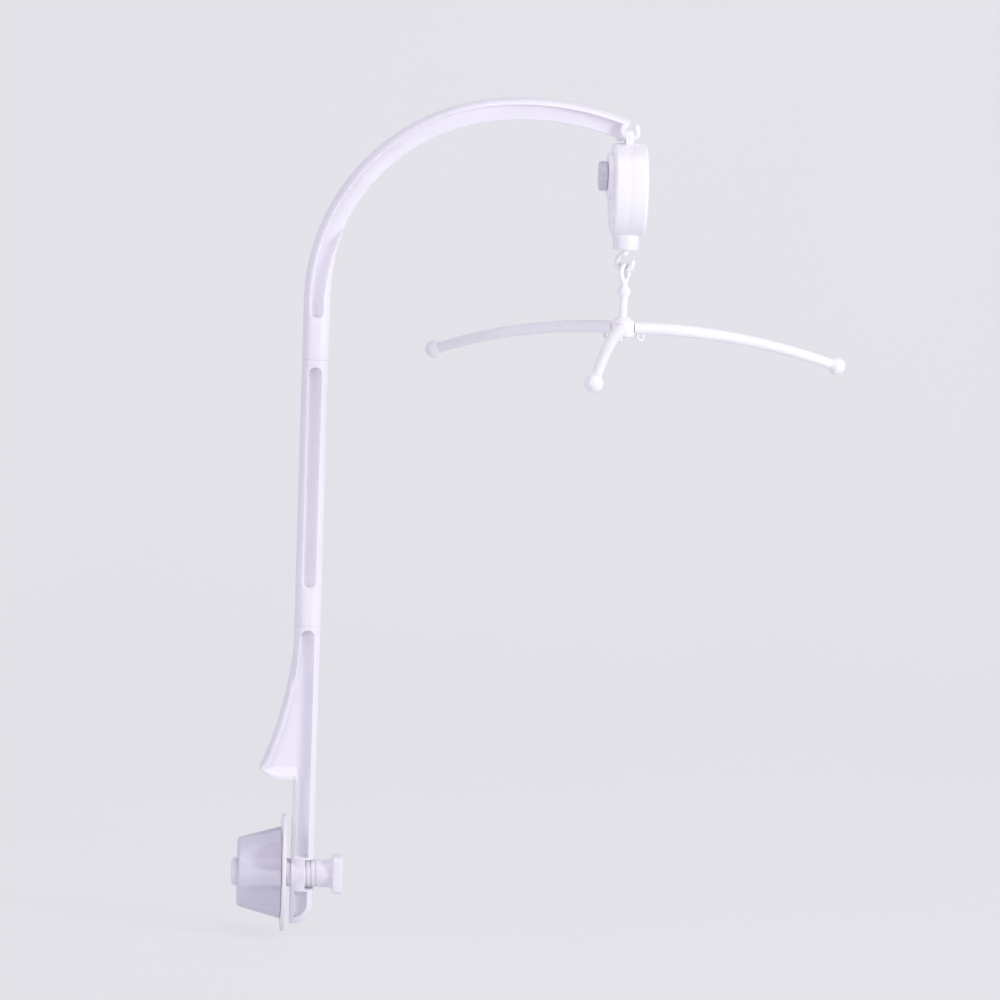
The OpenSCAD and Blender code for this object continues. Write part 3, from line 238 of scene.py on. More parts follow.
class SpreaderSizes(bpy.types.PropertyGroup):
    """Shape of the link and the spreader, in millimetres"""

    eye: number("Eye radius", "Centre-line radius of the link's eye", 6.3, 4, 9)
    eye_wire: number("Eye wire", "Radius of the eye's wire", 2.0, 1, 2.5)
    bead_drop: number("Bead drop", "Eye's lowest centre line down to the bead", 8.2, 6, 12)
    bead: number("Bead", "Diameter of the link's bead", 10.4, 6, 14)
    stem: number("Stem", "Diameter of the link's stem", 6.2, 4, 8)
    reach: number("Reach", "Hub axis to the middle of a ball", 186.0, 120, 240)
    droop: number("Droop radius", "Radius of the arms' curve", 600.0, 400, 900)
    root_tube: number("Tube at hub", "Diameter of an arm at the hub", 10.0, 7, 12)
    tip_tube: number("Tube at ball", "Diameter of an arm at its ball", 8.2, 6, 11)
    ball: number("Ball", "Diameter of a ball end", 14.4, 10, 20)
    eyelet: number("Eyelet", "Outer radius of a string eyelet", 3.6, 2.5, 6)
    eyelet_hole: number("Eyelet hole", "Radius of a string hole", 1.7, 1, 3)
    eyelet_out: number("Eyelet place", "Hub axis to a string eyelet", 15.0, 12, 30)


class FinishColours(bpy.types.PropertyGroup):
    """Colours of the plastics and metals; the knob's colour is darkened as painted shade"""

    white: tint("Stand plastic", "Colour of the moulded stand", (0.93, 0.915, 0.96))
    # painted shade: the knob's colour is greyer and more lavender than the stand's white, standing in for the
    # shade on its side away from the key lamp
    knob: tint("Knob plastic", "Colour of the clamp knob", (0.77, 0.755, 0.835))
    case: tint("Case plastic", "Colour of the music box", (0.98, 0.975, 0.99))
    key: tint("Key plastic", "Colour of the winding key", (0.70, 0.68, 0.76))
    spreader: tint("Spreader plastic", "Colour of the spreader and link", (0.985, 0.98, 0.985))
    steel: tint("Steel", "Colour of steel parts", (0.56, 0.57, 0.6))
    brass: tint("Brass", "Colour of brass parts", (0.74, 0.56, 0.26))


class StudioSettings(bpy.types.PropertyGroup):
    """Camera, lights and floor"""

    azimuth: bpy.props.FloatProperty(
        name="Azimuth", description="Camera's turn round the stand, in degrees", default=-3.6)
    elevation: bpy.props.FloatProperty(
        name="Elevation", description="Camera's height angle, in degrees", default=5.66)
    roll: bpy.props.FloatProperty(name="Roll", description="Camera's roll, in degrees", default=1.85)
    distance: bpy.props.FloatProperty(
        name="Distance", description="Camera to the aim point", default=4.5, unit="LENGTH")
    aim_x: bpy.props.FloatProperty(name="Aim X", description="Aim point's X", default=0.1594, unit="LENGTH")
    aim_z: bpy.props.FloatProperty(name="Aim Z", description="Aim point's Z", default=0.2228, unit="LENGTH")
    view_width: bpy.props.FloatProperty(
        name="View width", description="Width seen at the aim point", default=0.7811, unit="LENGTH")
    backdrop: tint("Backdrop", "Colour of the floor and backdrop", (0.812, 0.82, 0.852))


GROUPS = {
    "stand_sizes": StandSizes,
    "clamp_sizes": ClampSizes,
    "box_sizes": BoxSizes,
    "spreader_sizes": SpreaderSizes,
    "finish_colours": FinishColours,
    "studio_settings": StudioSettings,
}


def settings(name):
    """The scene's values of one property group."""
    return getattr(bpy.context.scene, name)


# ---------------------------------------------------------------- surfaces


def smooth(t):
    """Smooth step: 3t^2 - 2t^3 with t held between 0 and 1."""
    t = np.clip(t, 0.0, 1.0)
    return t * t * (3 - 2 * t)


def soft_min(a, b, k):
    """Smallest of two arrays, rounded over a width k where they cross."""
    h = np.clip(0.5 + 0.5 * (b - a) / k, 0, 1)
    return b + (a - b) * h - k * h * (1 - h)


def soft_max(a, b, k):
    """Largest of two arrays, rounded over a width k where they cross."""
    return -soft_min(-a, -b, k)


def chord(r, d):
    """Half the chord of a circle of radius r at a distance d from its centre: the root of r^2 - d^2."""
    return np.sqrt(np.maximum(r * r - d * d, 0))


def arc(cx, cy, r, start, end, n):
    """n + 1 points on a circle about (cx, cy) between two angles in degrees."""
    a = np.radians(np.linspace(start, end, n + 1))
    return np.column_stack([cx + r * np.cos(a), cy + r * np.sin(a)])


def quarter(n):
    """Sine, and one minus cosine, of n angles over a quarter turn."""
    k = np.radians(np.linspace(0, 90, n))
    return np.sin(k), 1 - np.cos(k)


def circle(steps):
    """Angles of a full turn in equal steps, in radians."""
    return np.radians(np.arange(steps) * 360 / steps)


def around(x, radius, angles, z):
    """Loop about an axis along X at height z, at place x; the radius may change with the angle."""
    return np.column_stack([np.full(len(angles), x), radius * np.cos(angles), z + radius * np.sin(angles)])


def rounded_rectangle(half_x, half_y, r, n):
    """Closed outline of a rectangle whose corners are quarter circles of radius r."""
    corners = ((1, 1, 0), (-1, 1, 90), (-1, -1, 180), (1, -1, 270))
    return np.vstack([arc(cx * (half_x - r), cy * (half_y - r), r, t, t + 90, n) for cx, cy, t in corners])


def scalloped(angles, centre, r, count, turn, far):
    """Distance from the axis at which each direction meets one of count circles of radius r.

    The circles' centres lie at a distance centre, halfway between the lobes; the first lobe is at
    the angle turn. A direction that meets none gets the distance far.
    """
    pitch = 2 * np.pi / count
    off = (angles - turn) % pitch - pitch / 2
    side = centre * np.sin(off)
    return np.where(np.abs(side) < r, centre * np.cos(off) - chord(r, side), far)


def unit(v):
    """Rows of v made one long."""
    return v / np.maximum(np.linalg.norm(v, axis=-1, keepdims=True), 1e-12)


class Piece:
    """Gathers closed surfaces, in millimetres, and makes them one mesh object in metres."""

    def __init__(self):
        self.points = []
        self.faces = []
        self.count = 0

    def loft(self, rings, caps=True, wrap=False):
        """Adds the surface through rings, an array of rows by columns by 3, each a closed loop.

        Neighbouring rings are joined by quads. Each end is closed by one face, unless wrap joins
        the last ring to the first.
        """
        rings = np.asarray(rings, float)
        rows, cols = rings.shape[:2]
        index = self.count + np.arange(rows * cols).reshape(rows, cols)
        a = index if wrap else index[:-1]
        b = np.roll(index, -1, axis=0) if wrap else index[1:]
        quads = np.stack([a, np.roll(a, -1, axis=1), np.roll(b, -1, axis=1), b], axis=-1).reshape(-1, 4)
        self.points.append(rings.reshape(-1, 3))
        self.faces.extend(quads.tolist())
        if caps and not wrap:
            self.faces.append(index[0, ::-1].tolist())
            self.faces.append(index[-1].tolist())
        self.count += rows * cols
        return self

    def mesh(self, name, weld, least=0.0):
        """Mesh of the surfaces, its doubled points welded, slivers under the least size removed."""
        mesh = bpy.data.meshes.new(name)
        mesh.from_pydata((np.vstack(self.points) * MM).tolist(), [], self.faces)
        bm = bmesh.new()
        bm.from_mesh(mesh)
        bmesh.ops.remove_doubles(bm, verts=bm.verts, dist=weld)
        if least:
            bmesh.ops.dissolve_degenerate(bm, edges=bm.edges, dist=least)
        bmesh.ops.recalc_face_normals(bm, faces=bm.faces)
        bm.to_mesh(mesh)
        bm.free()
        return mesh

    def cutter(self):
        """Bare object of the surfaces, to carve with."""
        return linked("cutter", self.mesh("cutter", 1e-7))

    def build(self, name, node, sharp=SHARP):
        """Makes the mesh object in the finish of a CAD node's slot, and lets it stand for that node."""
        mesh = self.mesh(name, 2e-6, 1e-6)
        mesh.update()
        shade(mesh, sharp)
        obj = linked(name, mesh)
        mesh.materials.append(finish(slot_of(node)))
        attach(obj, body_of_node(node))
        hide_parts(node)
        return obj


def shade(mesh, sharp=SHARP):
    """Smooth shading, with sharp edges from an angle in degrees."""
    mesh.shade_smooth()
    mesh.set_sharp_from_angle(angle=math.radians(sharp))


def linked(name, data):
    """New object of a mesh, a lamp or a camera, linked to the scene."""
    obj = bpy.data.objects.new(name, data)
    bpy.context.scene.collection.objects.link(obj)
    return obj


def revolve(profile, centre, axis, steps):
    """Rings of a surface turned about an axis.

    profile holds (radius, place along the axis) pairs. Ring i holds every profile point turned
    by the i-th angle, so the loops run along the profile and wrap round the axis.
    """
    profile = np.asarray(profile, float)
    r, t = profile[:, 0], profile[:, 1]
    c, s = np.cos(circle(steps))[:, None], np.sin(circle(steps))[:, None]
    along = np.broadcast_to(t, (steps, len(t)))
    if axis == "X":
        rings = np.stack([along, r * c, r * s], axis=-1)
    else:
        rings = np.stack([r * c, r * s, along], axis=-1)
    return rings + np.asarray(centre, float)


def frames_along(path, up):
    """Side and top directions that travel along a path without twisting, from a first up direction."""
    path = np.asarray(path, float)
    ahead = unit(np.gradient(path, axis=0))
    top = np.empty_like(path)
    previous = np.asarray(up, float)
    for i, t in enumerate(ahead):
        previous = previous - t * np.dot(previous, t)
        previous /= np.linalg.norm(previous)
        top[i] = previous
    return np.cross(ahead, top), top


def tube(path, radius, up, steps, round_end=False):
    """Rings of a round tube along a path, its radius given for each point.

    A rounded far end adds rings whose radius falls as the cosine and whose place runs on as the sine.
    """
    path = np.asarray(path, float)
    radius = np.broadcast_to(np.asarray(radius, float), (len(path),)).copy()
    ahead = unit(np.gradient(path, axis=0))
    side, top = frames_along(path, up)
    turn = np.radians(np.linspace(0, 84, 9)[1:])  # short of 90, so that the last ring keeps a size
    if round_end:
        last = path[-1] + np.outer(np.sin(turn), ahead[-1]) * radius[-1]
        path, radius = np.vstack([path, last]), np.concatenate([radius, radius[-1] * np.cos(turn)])
        side, top = (np.vstack([v, np.repeat(v[-1:], len(turn), 0)]) for v in (side, top))
    a = circle(steps)
    ring = (np.cos(a)[None, :, None] * side[:, None] + np.sin(a)[None, :, None] * top[:, None])
    return path[:, None] + ring * radius[:, None, None]


def carve(obj, cutter):
    """Cuts one closed mesh object out of another, exactly, and removes the cutter."""
    cut = obj.modifiers.new("carve", "BOOLEAN")
    cut.operation = "DIFFERENCE"
    cut.solver = "EXACT"
    cut.object = cutter
    bpy.context.view_layer.update()
    depsgraph = bpy.context.evaluated_depsgraph_get()
    mesh = bpy.data.meshes.new_from_object(obj.evaluated_get(depsgraph))
    obj.modifiers.clear()
    old, obj.data = obj.data, mesh
    mesh.name = old.name
    bpy.data.meshes.remove(old)
    mesh.set_sharp_from_angle(angle=math.radians(SHARP))
    bpy.data.objects.remove(cutter)


# ---------------------------------------------------------------- materials


def node_tree(name):
    """A new material, its node tree, the Principled shader joined to its output, and Object coordinates."""
    material = bpy.data.materials.new(name)
    material.use_nodes = True
    tree = material.node_tree
    tree.nodes.clear()
    shader = add(tree, "BsdfPrincipled")
    add(tree, "OutputMaterial", Surface=shader.outputs["BSDF"])
    return material, tree, shader, add(tree, "TexCoord").outputs["Object"]


def add(tree, kind, **inputs):
    """A new node. Each input, named with _ for a space, takes a value or is joined to an output."""
    node = tree.nodes.new("ShaderNode" + kind)
    give(tree, node, **inputs)
    return node


def give(tree, node, **inputs):
    """Sets a node's inputs, as add() does."""
    for name, value in inputs.items():
        socket = node.inputs[name.replace("_", " ")]
        if isinstance(value, bpy.types.NodeSocket):
            tree.links.new(value, socket)
        else:
            socket.default_value = value


def noise(tree, place, scale, detail=3.0, rough=0.5):
    """Noise texture on a coordinate output."""
    return add(tree, "TexNoise", Vector=place, Scale=scale, Detail=detail, Roughness=rough).outputs["Fac"]


def ramp(tree, value, low, high):
    """Colour ramp between two colours, over the middle third of a noise's values."""
    node = add(tree, "ValToRGB", Fac=value)
    for stop, position, colour in zip(node.color_ramp.elements, (0.35, 0.65), (low, high)):
        stop.position = position
        stop.color = (*colour, 1)
    return node.outputs["Color"]


def spread(tree, value, low, high):
    """Maps 0..1 to low..high."""
    return add(tree, "MapRange", Value=value, To_Min=low, To_Max=high).outputs["Result"]


def bump(tree, height, strength, distance):
    """Normal bent by a height value."""
    return add(tree, "Bump", Height=height, Strength=strength, Distance=distance).outputs["Normal"]


def tinted(tree, value, colour, low, high):
    """Colour that shifts between two shares of itself, held under white."""
    colour = np.array(colour[:])
    return ramp(tree, value, np.clip(colour * low, 0, 1), np.clip(colour * high, 0, 1))


def moulded_plastic(name, colour, gloss, flow=0.03):
    """Satin moulded plastic.

    A broad noise shifts the colour a little, as uneven cooling does, a finer one changes the
    gloss, and a very fine one gives the skin its slight orange peel.
    """
    material, tree, shader, place = node_tree(name)
    give(tree, shader, IOR=1.5, Subsurface_Weight=0.0,
         Base_Color=tinted(tree, noise(tree, place, 22, 4), colour, 1 - flow, 1 + flow * 0.5),
         Roughness=spread(tree, noise(tree, place, 130, 5, 0.6), gloss - 0.07, gloss + 0.09),
         Normal=bump(tree, noise(tree, place, 900, 2), 0.12, 0.00006))
    return material


def metal(name, colour, gloss, grain):
    """Turned or stamped metal: fine streaks in gloss and height, and a broad tint change."""
    material, tree, shader, place = node_tree(name)
    streak = noise(tree, add(tree, "Mapping", Vector=place, Scale=grain).outputs["Vector"], 300, 4, 0.7)
    give(tree, shader, Metallic=1.0,
         Base_Color=tinted(tree, noise(tree, place, 60, 3), colour, 0.86, 1.05),
         Roughness=spread(tree, streak, gloss - 0.08, gloss + 0.14),
         Normal=bump(tree, streak, 0.2, 0.00003))
    return material


def finish(slot):
    """The shared material of a slot, made the first time it is asked for.

    The frame has flat materials named like the slots, so these get names of their own.
    """
    name = "look_" + slot
    known = bpy.data.materials.get(name)
    if known:
        return known
    colours = settings("finish_colours")
    recipes = {
        "stand_plastic": lambda: moulded_plastic(name, colours.white, 0.3),
        # the knob's darker lavender colour is painted shade on the stand's white plastic
        "knob_plastic": lambda: moulded_plastic(name, colours.knob, 0.34),
        "case_plastic": lambda: moulded_plastic(name, colours.case, 0.24, 0.02),
        "key_plastic": lambda: moulded_plastic(name, colours.key, 0.36, 0.05),
        "spreader_plastic": lambda: moulded_plastic(name, colours.spreader, 0.22, 0.02),
        "steel": lambda: metal(name, colours.steel, 0.3, (1, 1, 12)),
        "spring_steel": lambda: metal(name, [c * 0.55 for c in colours.steel], 0.26, (12, 1, 1)),
        "brass": lambda: metal(name, colours.brass, 0.28, (10, 1, 1)),
    }
    return recipes[slot]()


# ---------------------------------------------------------------- stand


def rounded_depth(u, width, depth, r):
    """Half the depth of a rounded rectangle at a distance u from its centre line."""
    return depth / 2 - r + chord(r, np.clip(np.abs(u) - (width / 2 - r), 0, r))


def half_depth(u):
    """Half the depth of the arm's rounded section at a distance u from its centre line."""
    return rounded_depth(u, ARM_W, ARM_D, settings("stand_sizes").edge_round)


def crest(distance, r):
    """Drop of a rim's edge at a distance from its channel's wall: a quarter circle of radius r."""
    return r - chord(r, np.clip(r - distance, 0, r))


def draw_in(z, ends, r):
    """Inset of every row near a bar's ends: a quarter circle of radius r."""
    return crest(np.min([np.abs(z - end) for end in ends], axis=0), r)[:, None]


def section_loops(u, y, sides=4):
    """Closed loops (u, y) from the front half of a section, whose depths y are given at places u.

    The front runs from the first place to the last at -y, the far side crosses to +y, the back
    runs home and the near side closes the loop.
    """
    k = np.linspace(1, -1, sides + 2)[1:-1]
    far = np.stack([np.repeat(u[:, -1:], sides, 1), -y[:, -1:] * k], -1)
    near = np.stack([np.repeat(u[:, :1], sides, 1), y[:, :1] * k], -1)
    front = np.stack([u, -y], -1)
    back = np.stack([u[:, ::-1], y[:, ::-1]], -1)
    return np.concatenate([front, far, back, near], axis=1)


def bar_places(low, wall_low, wall_high, high, blend):
    """Places across a bar, for every row: close together at both edges and at both channel walls."""
    ease = 1 - np.cos(np.linspace(0, np.pi / 2, 11)[:-1])
    across = np.linspace(-1, 1, 9)
    floor = np.linspace(0, 1, 23)[1:-1]
    low, wall_low, wall_high, high = (a[:, None] for a in (low, wall_low, wall_high, high))
    reach = blend * 1.25
    return np.concatenate([
        low + (wall_low - reach - low) * ease,
        wall_low + reach * across,
        (wall_low + reach) + (wall_high - reach - wall_low - reach) * floor,
        wall_high + reach * across,
        high - (high - wall_high - reach) * ease[::-1],
    ], axis=1)


def step_over(distance, blend):
    """0 inside a channel and 1 outside it, by the distance outside its wall: a soft step."""
    return smooth((distance + blend) / (2 * blend))


def upright(loops, z):
    """Rings of loops (u, y) about the arm's centre line, at height z for each row."""
    return np.stack([ARM_X + loops[..., 0], loops[..., 1], np.broadcast_to(z[:, None], loops.shape[:2])], -1)


def plug_rings(u, heights, scale=1.0):
    """Rings of a plug's section at the given heights, with as many places as the arm's section."""
    v = np.clip(u / (ARM_W / 2), -1, 1) * PLUG_W / 2 * scale
    y = rounded_depth(v, PLUG_W * scale, PLUG_D * scale, PLUG_ROUND)
    loops = section_loops(v[None], y[None])
    return upright(np.repeat(loops, len(heights), 0), np.array(heights))


def socket_rings(u, z):
    """Rings of the socket whose mouth is at height z, from its floor down to the mouth."""
    return plug_rings(u, [z + TENON + SOCKET_SPARE, z], SOCKET_SCALE)


def tenon_rings(u, z):
    """Rings of the plug that stands up from height z and is drawn in at its tip."""
    return np.concatenate([plug_rings(u, [z, z + TENON - PLUG_LEAD]), plug_rings(u, [z + TENON], TIP_SCALE)])


def even(a, b, step):
    """Places from a to b about a step apart."""
    return np.linspace(a, b, max(2, int(math.ceil(abs(b - a) / step)) + 1))


def joined(*parts):
    """Places of several runs joined end to end, without repeats."""
    out = [parts[0]]
    for p in parts[1:]:
        out.append(p[1:])
    return np.concatenate(out)


class MOBILE_OT_middle_arm(bpy.types.Operator):
    """Middle section of the stand: a straight rounded bar with a round-ended channel front and back"""

    bl_idname = "mobile.middle_arm"
    bl_label = "Middle Arm"

    def execute(self, context):
        s = settings("stand_sizes")
        r = s.channel / 2
        low, high = JOINT_LOW + s.sleeve, JOINT_HIGH - s.margin
        e = s.joint_edge
        z = joined(even(JOINT_LOW, JOINT_LOW + e, e / 5), even(JOINT_LOW + e, low - 1, 6),
                   even(low - 1, low + r + 1, 0.4), even(low + r + 1, high - r - 1, 7),
                   even(high - r - 1, high + 1, 0.4), even(high + 1, JOINT_HIGH - e, 3),
                   even(JOINT_HIGH - e, JOINT_HIGH, e / 5))
        n = np.ones_like(z)
        u = bar_places(-ARM_W / 2 * n, -r * n, r * n, ARM_W / 2 * n, s.wall_blend)
        beyond = np.maximum(np.maximum(z - (high - r), (low + r) - z), 0)[:, None]
        distance = np.hypot(u, beyond) - r
        rim = half_depth(u) - crest(distance, s.crest)
        y = s.web / 2 + (rim - s.web / 2) * step_over(distance, s.wall_blend)
        inset = draw_in(z, (JOINT_LOW, JOINT_HIGH), e)
        u, y = u * (1 - inset * 2 / ARM_W), y - inset
        rows = upright(section_loops(u, y), z)
        rings = [socket_rings(u[0], JOINT_LOW), rows, tenon_rings(u[-1], JOINT_HIGH)]
        Piece().loft(np.concatenate(rings)).build("middle_arm_moulded", "middle_arm")
        return {"FINISHED"}


def arch_geometry(s):
    """Centres and edges of the arch in the arm's own plane: X from the arm's centre line, Z up.

    The bend's circle touches the arm's outer edge and the crown's circle, whose top is the arm's
    highest point. The jaw is an upright face under the beak, and its mouth is where the slant to
    the beak's tip starts.
    """
    sweep = math.radians(s.bend_sweep)
    step = s.crown - s.bend
    bend = np.array([s.bend - ARM_W / 2, TOP_HIGH[2] - s.crown + step * math.sin(sweep)])
    crown = bend + step * np.array([math.cos(sweep), -math.sin(sweep)])
    tip = math.radians(180 - s.bend_sweep - s.crown_sweep)
    beak = crown + s.crown * np.array([math.cos(tip), math.sin(tip)])
    jaw_x = beak[0] - s.beak
    inner = s.crown - s.crown_height
    jaw_z = crown[1] + math.sqrt(inner ** 2 - (jaw_x - crown[0]) ** 2)
    mouth_z = beak[1] - 1.7 * s.beak
    return bend, crown, math.degrees(tip), beak, jaw_x, jaw_z, mouth_z


class MOBILE_OT_top_arm(bpy.types.Operator):
    """Top section of the stand, which bends over and ends in a beak and a J-shaped finger"""

    bl_idname = "mobile.top_arm"
    bl_label = "Top Arm"

    def execute(self, context):
        s = settings("stand_sizes")
        half, r, blend = ARM_W / 2, s.channel / 2, s.wall_blend
        bend, crown, tip, beak, jaw_x, jaw_z, mouth_z = arch_geometry(s)
        low, e = JOINT_HIGH + s.top_sleeve, s.joint_edge
        z = joined(even(JOINT_HIGH, JOINT_HIGH + e, e / 5), even(JOINT_HIGH + e, low - 1, 5),
                   even(low - 1, low + r + 1, 0.4), even(low + r + 1, bend[1], 3))
        a = np.linspace(180, 180 - s.bend_sweep, 150)[1:]
        near, last = tip + 7, tip + 0.6
        b = joined(np.linspace(180 - s.bend_sweep, near, 50), np.linspace(near, last, 48))[1:]

        # turn of each row, and the section's inner edge and inner channel wall there: the section gets
        # lower and its inner rim narrower, until the wall passes the edge and the rim has run out
        turn = np.concatenate([np.zeros(len(z)), 180 - a, 180 - b])
        low_inner, begin, past = s.crown_height - half, 5, 3
        inner = half + (low_inner - half) * np.clip((turn - begin) / (s.rim_runout - begin), 0, 1)
        wall = r + (low_inner + 0.4 - r) * np.clip(turn / s.rim_runout, 0, 1)
        wall = np.where(turn > s.rim_runout, inner + past, wall)
        edge = np.minimum(wall, inner - 1.6 * blend)
        u = bar_places(-half * np.ones_like(turn), -r * np.ones_like(turn), edge, inner, blend)

        # points of every row in the arm's plane; the last rows swing onto the jaw's face
        ends = np.radians(self.end_angles(u[-1:], s, crown, beak, jaw_x, mouth_z))
        u_column, u_bend, u_crown = np.split(u, [len(z), len(z) + len(a)])
        t = np.radians(b)[:, None] + 0 * u_crown
        swing = smooth((math.radians(near) - t) / math.radians(near - last))
        t = t * (1 - swing) + (ends + (t - math.radians(last))) * swing
        place = np.concatenate([
            np.stack([u_column, z[:, None] + 0 * u_column], -1),
            self.arch_points(bend, s.bend - half - u_bend, np.radians(a)[:, None]),
            self.arch_points(crown, s.crown - half - u_crown, t),
        ])

        # channel: round lower end, both walls, and the round pad at the jaw
        column, over = (turn == 0)[:, None], (turn > 90)[:, None]
        beyond = np.maximum(low + r - place[..., 1], 0) * column
        start = np.hypot(u * (beyond > 0), beyond) - r
        outer, inwards = -(u + r), u - wall[:, None]
        pad_x = jaw_x + 3.2
        pad = s.jaw - np.hypot(place[..., 0] - pad_x, place[..., 1] - mouth_z)
        mask = np.maximum.reduce([
            step_over(outer, blend),
            step_over(inwards, blend) * smooth((inner - wall) / 1.6)[:, None],
            np.where(beyond > 0, step_over(start, blend), 0),
            step_over(pad, blend) * over,
        ])
        rim = np.where(beyond > 0, start, np.maximum(outer, inwards))
        rim = np.where(over, np.maximum(rim, pad), rim)
        y = s.web / 2 + (half_depth(u) - crest(rim, s.crest) - s.web / 2) * mask
        y = y - crest(inner[:, None] - u, 1.0) * smooth(half - inner)[:, None]

        inset = draw_in(np.where(turn == 0, place[:, 0, 1], low), (JOINT_HIGH,), e)
        place[..., 0] -= u * inset * 2 / ARM_W * column
        y = y - inset
        across, up = section_loops(place[..., 0], y), section_loops(place[..., 1], y)
        rows = np.stack([ARM_X + across[..., 0], across[..., 1], up[..., 0]], -1)
        piece = Piece().loft(np.concatenate([socket_rings(u[0], JOINT_HIGH), rows]))
        piece.loft(self.finger(s, jaw_x, jaw_z))
        piece.build("top_arm_moulded", "top_arm")
        return {"FINISHED"}

    def arch_points(self, centre, radius, t):
        """Points at angles t about a centre in the arm's plane."""
        return np.stack([centre[0] + radius * np.cos(t), centre[1] + radius * np.sin(t)], -1)

    def end_angles(self, u, s, crown, beak, jaw_x, mouth_z):
        """Angle about the crown's centre at which each place u meets the jaw's face or the beak's mouth.

        The face is upright at jaw_x up to the mouth; above it the mouth is a straight line to the beak,
        met where a circle of that place's radius crosses it.
        """
        rho = s.crown - ARM_W / 2 - u
        plumb = np.arccos(np.clip((jaw_x - crown[0]) / rho, -1, 1))
        z = crown[1] + rho * np.sin(plumb)
        start = np.array([jaw_x, mouth_z]) - crown
        along = beak - np.array([jaw_x, mouth_z])
        a, b, c = along @ along, start @ along, start @ start - rho ** 2
        t = (-b + np.sqrt(np.maximum(b * b - a * c, 0))) / a
        slanted = np.arctan2(start[1] + t * along[1], start[0] + t * along[0])
        return np.degrees(np.where(z > mouth_z, slanted, plumb))

    def finger(self, s, jaw_x, jaw_z):
        """Rings of the finger: straight out of the jaw, a tight bend up, and a short leaning tip."""
        r, root, tip_length = s.finger, 6, 4.3
        z, bend_r = jaw_z + r + 0.2, r + 1.0
        bend_x = TOP_HIGH[0] - ARM_X - bend_r - r
        turned = arc(bend_x, z + bend_r, bend_r, -90, s.finger_lean, 22)
        lean = math.radians(s.finger_lean)
        tip = turned[-1] + tip_length * np.array([-math.sin(lean), math.cos(lean)])
        x = even(jaw_x - root, bend_x, 1.0)
        flat = np.column_stack([x, np.full(len(x), z)])
        rise = turned[-1] + np.linspace(0, 1, 8)[:, None] * (tip - turned[-1])
        line = np.vstack([flat[:-1], turned, rise[1:]])
        path = np.column_stack([ARM_X + line[:, 0], np.zeros(len(line)), line[:, 1]])
        return tube(path, r, (0, 1, 0), 36, True)


def outline_distance(x, z, outline):
    """Signed distance of points to a closed outline: negative inside it.

    The size is the least distance to any edge, and the sign comes from counting crossings.
    """
    p = np.stack([x.ravel(), z.ravel()], -1)
    best = np.full(len(p), 1e9)
    inside = np.zeros(len(p), bool)
    for a, b in zip(outline, np.roll(outline, -1, axis=0)):
        e = b - a
        t = np.clip(((p - a) @ e) / max(e @ e, 1e-12), 0, 1)
        best = np.minimum(best, np.hypot(*(p - a - t[:, None] * e).T))
        if a[1] != b[1]:
            crosses = (a[1] > p[:, 1]) != (b[1] > p[:, 1])
            inside ^= crosses & (p[:, 0] < a[0] + (p[:, 1] - a[1]) * e[0] / e[1])
    return np.where(inside, -best, best).reshape(x.shape)


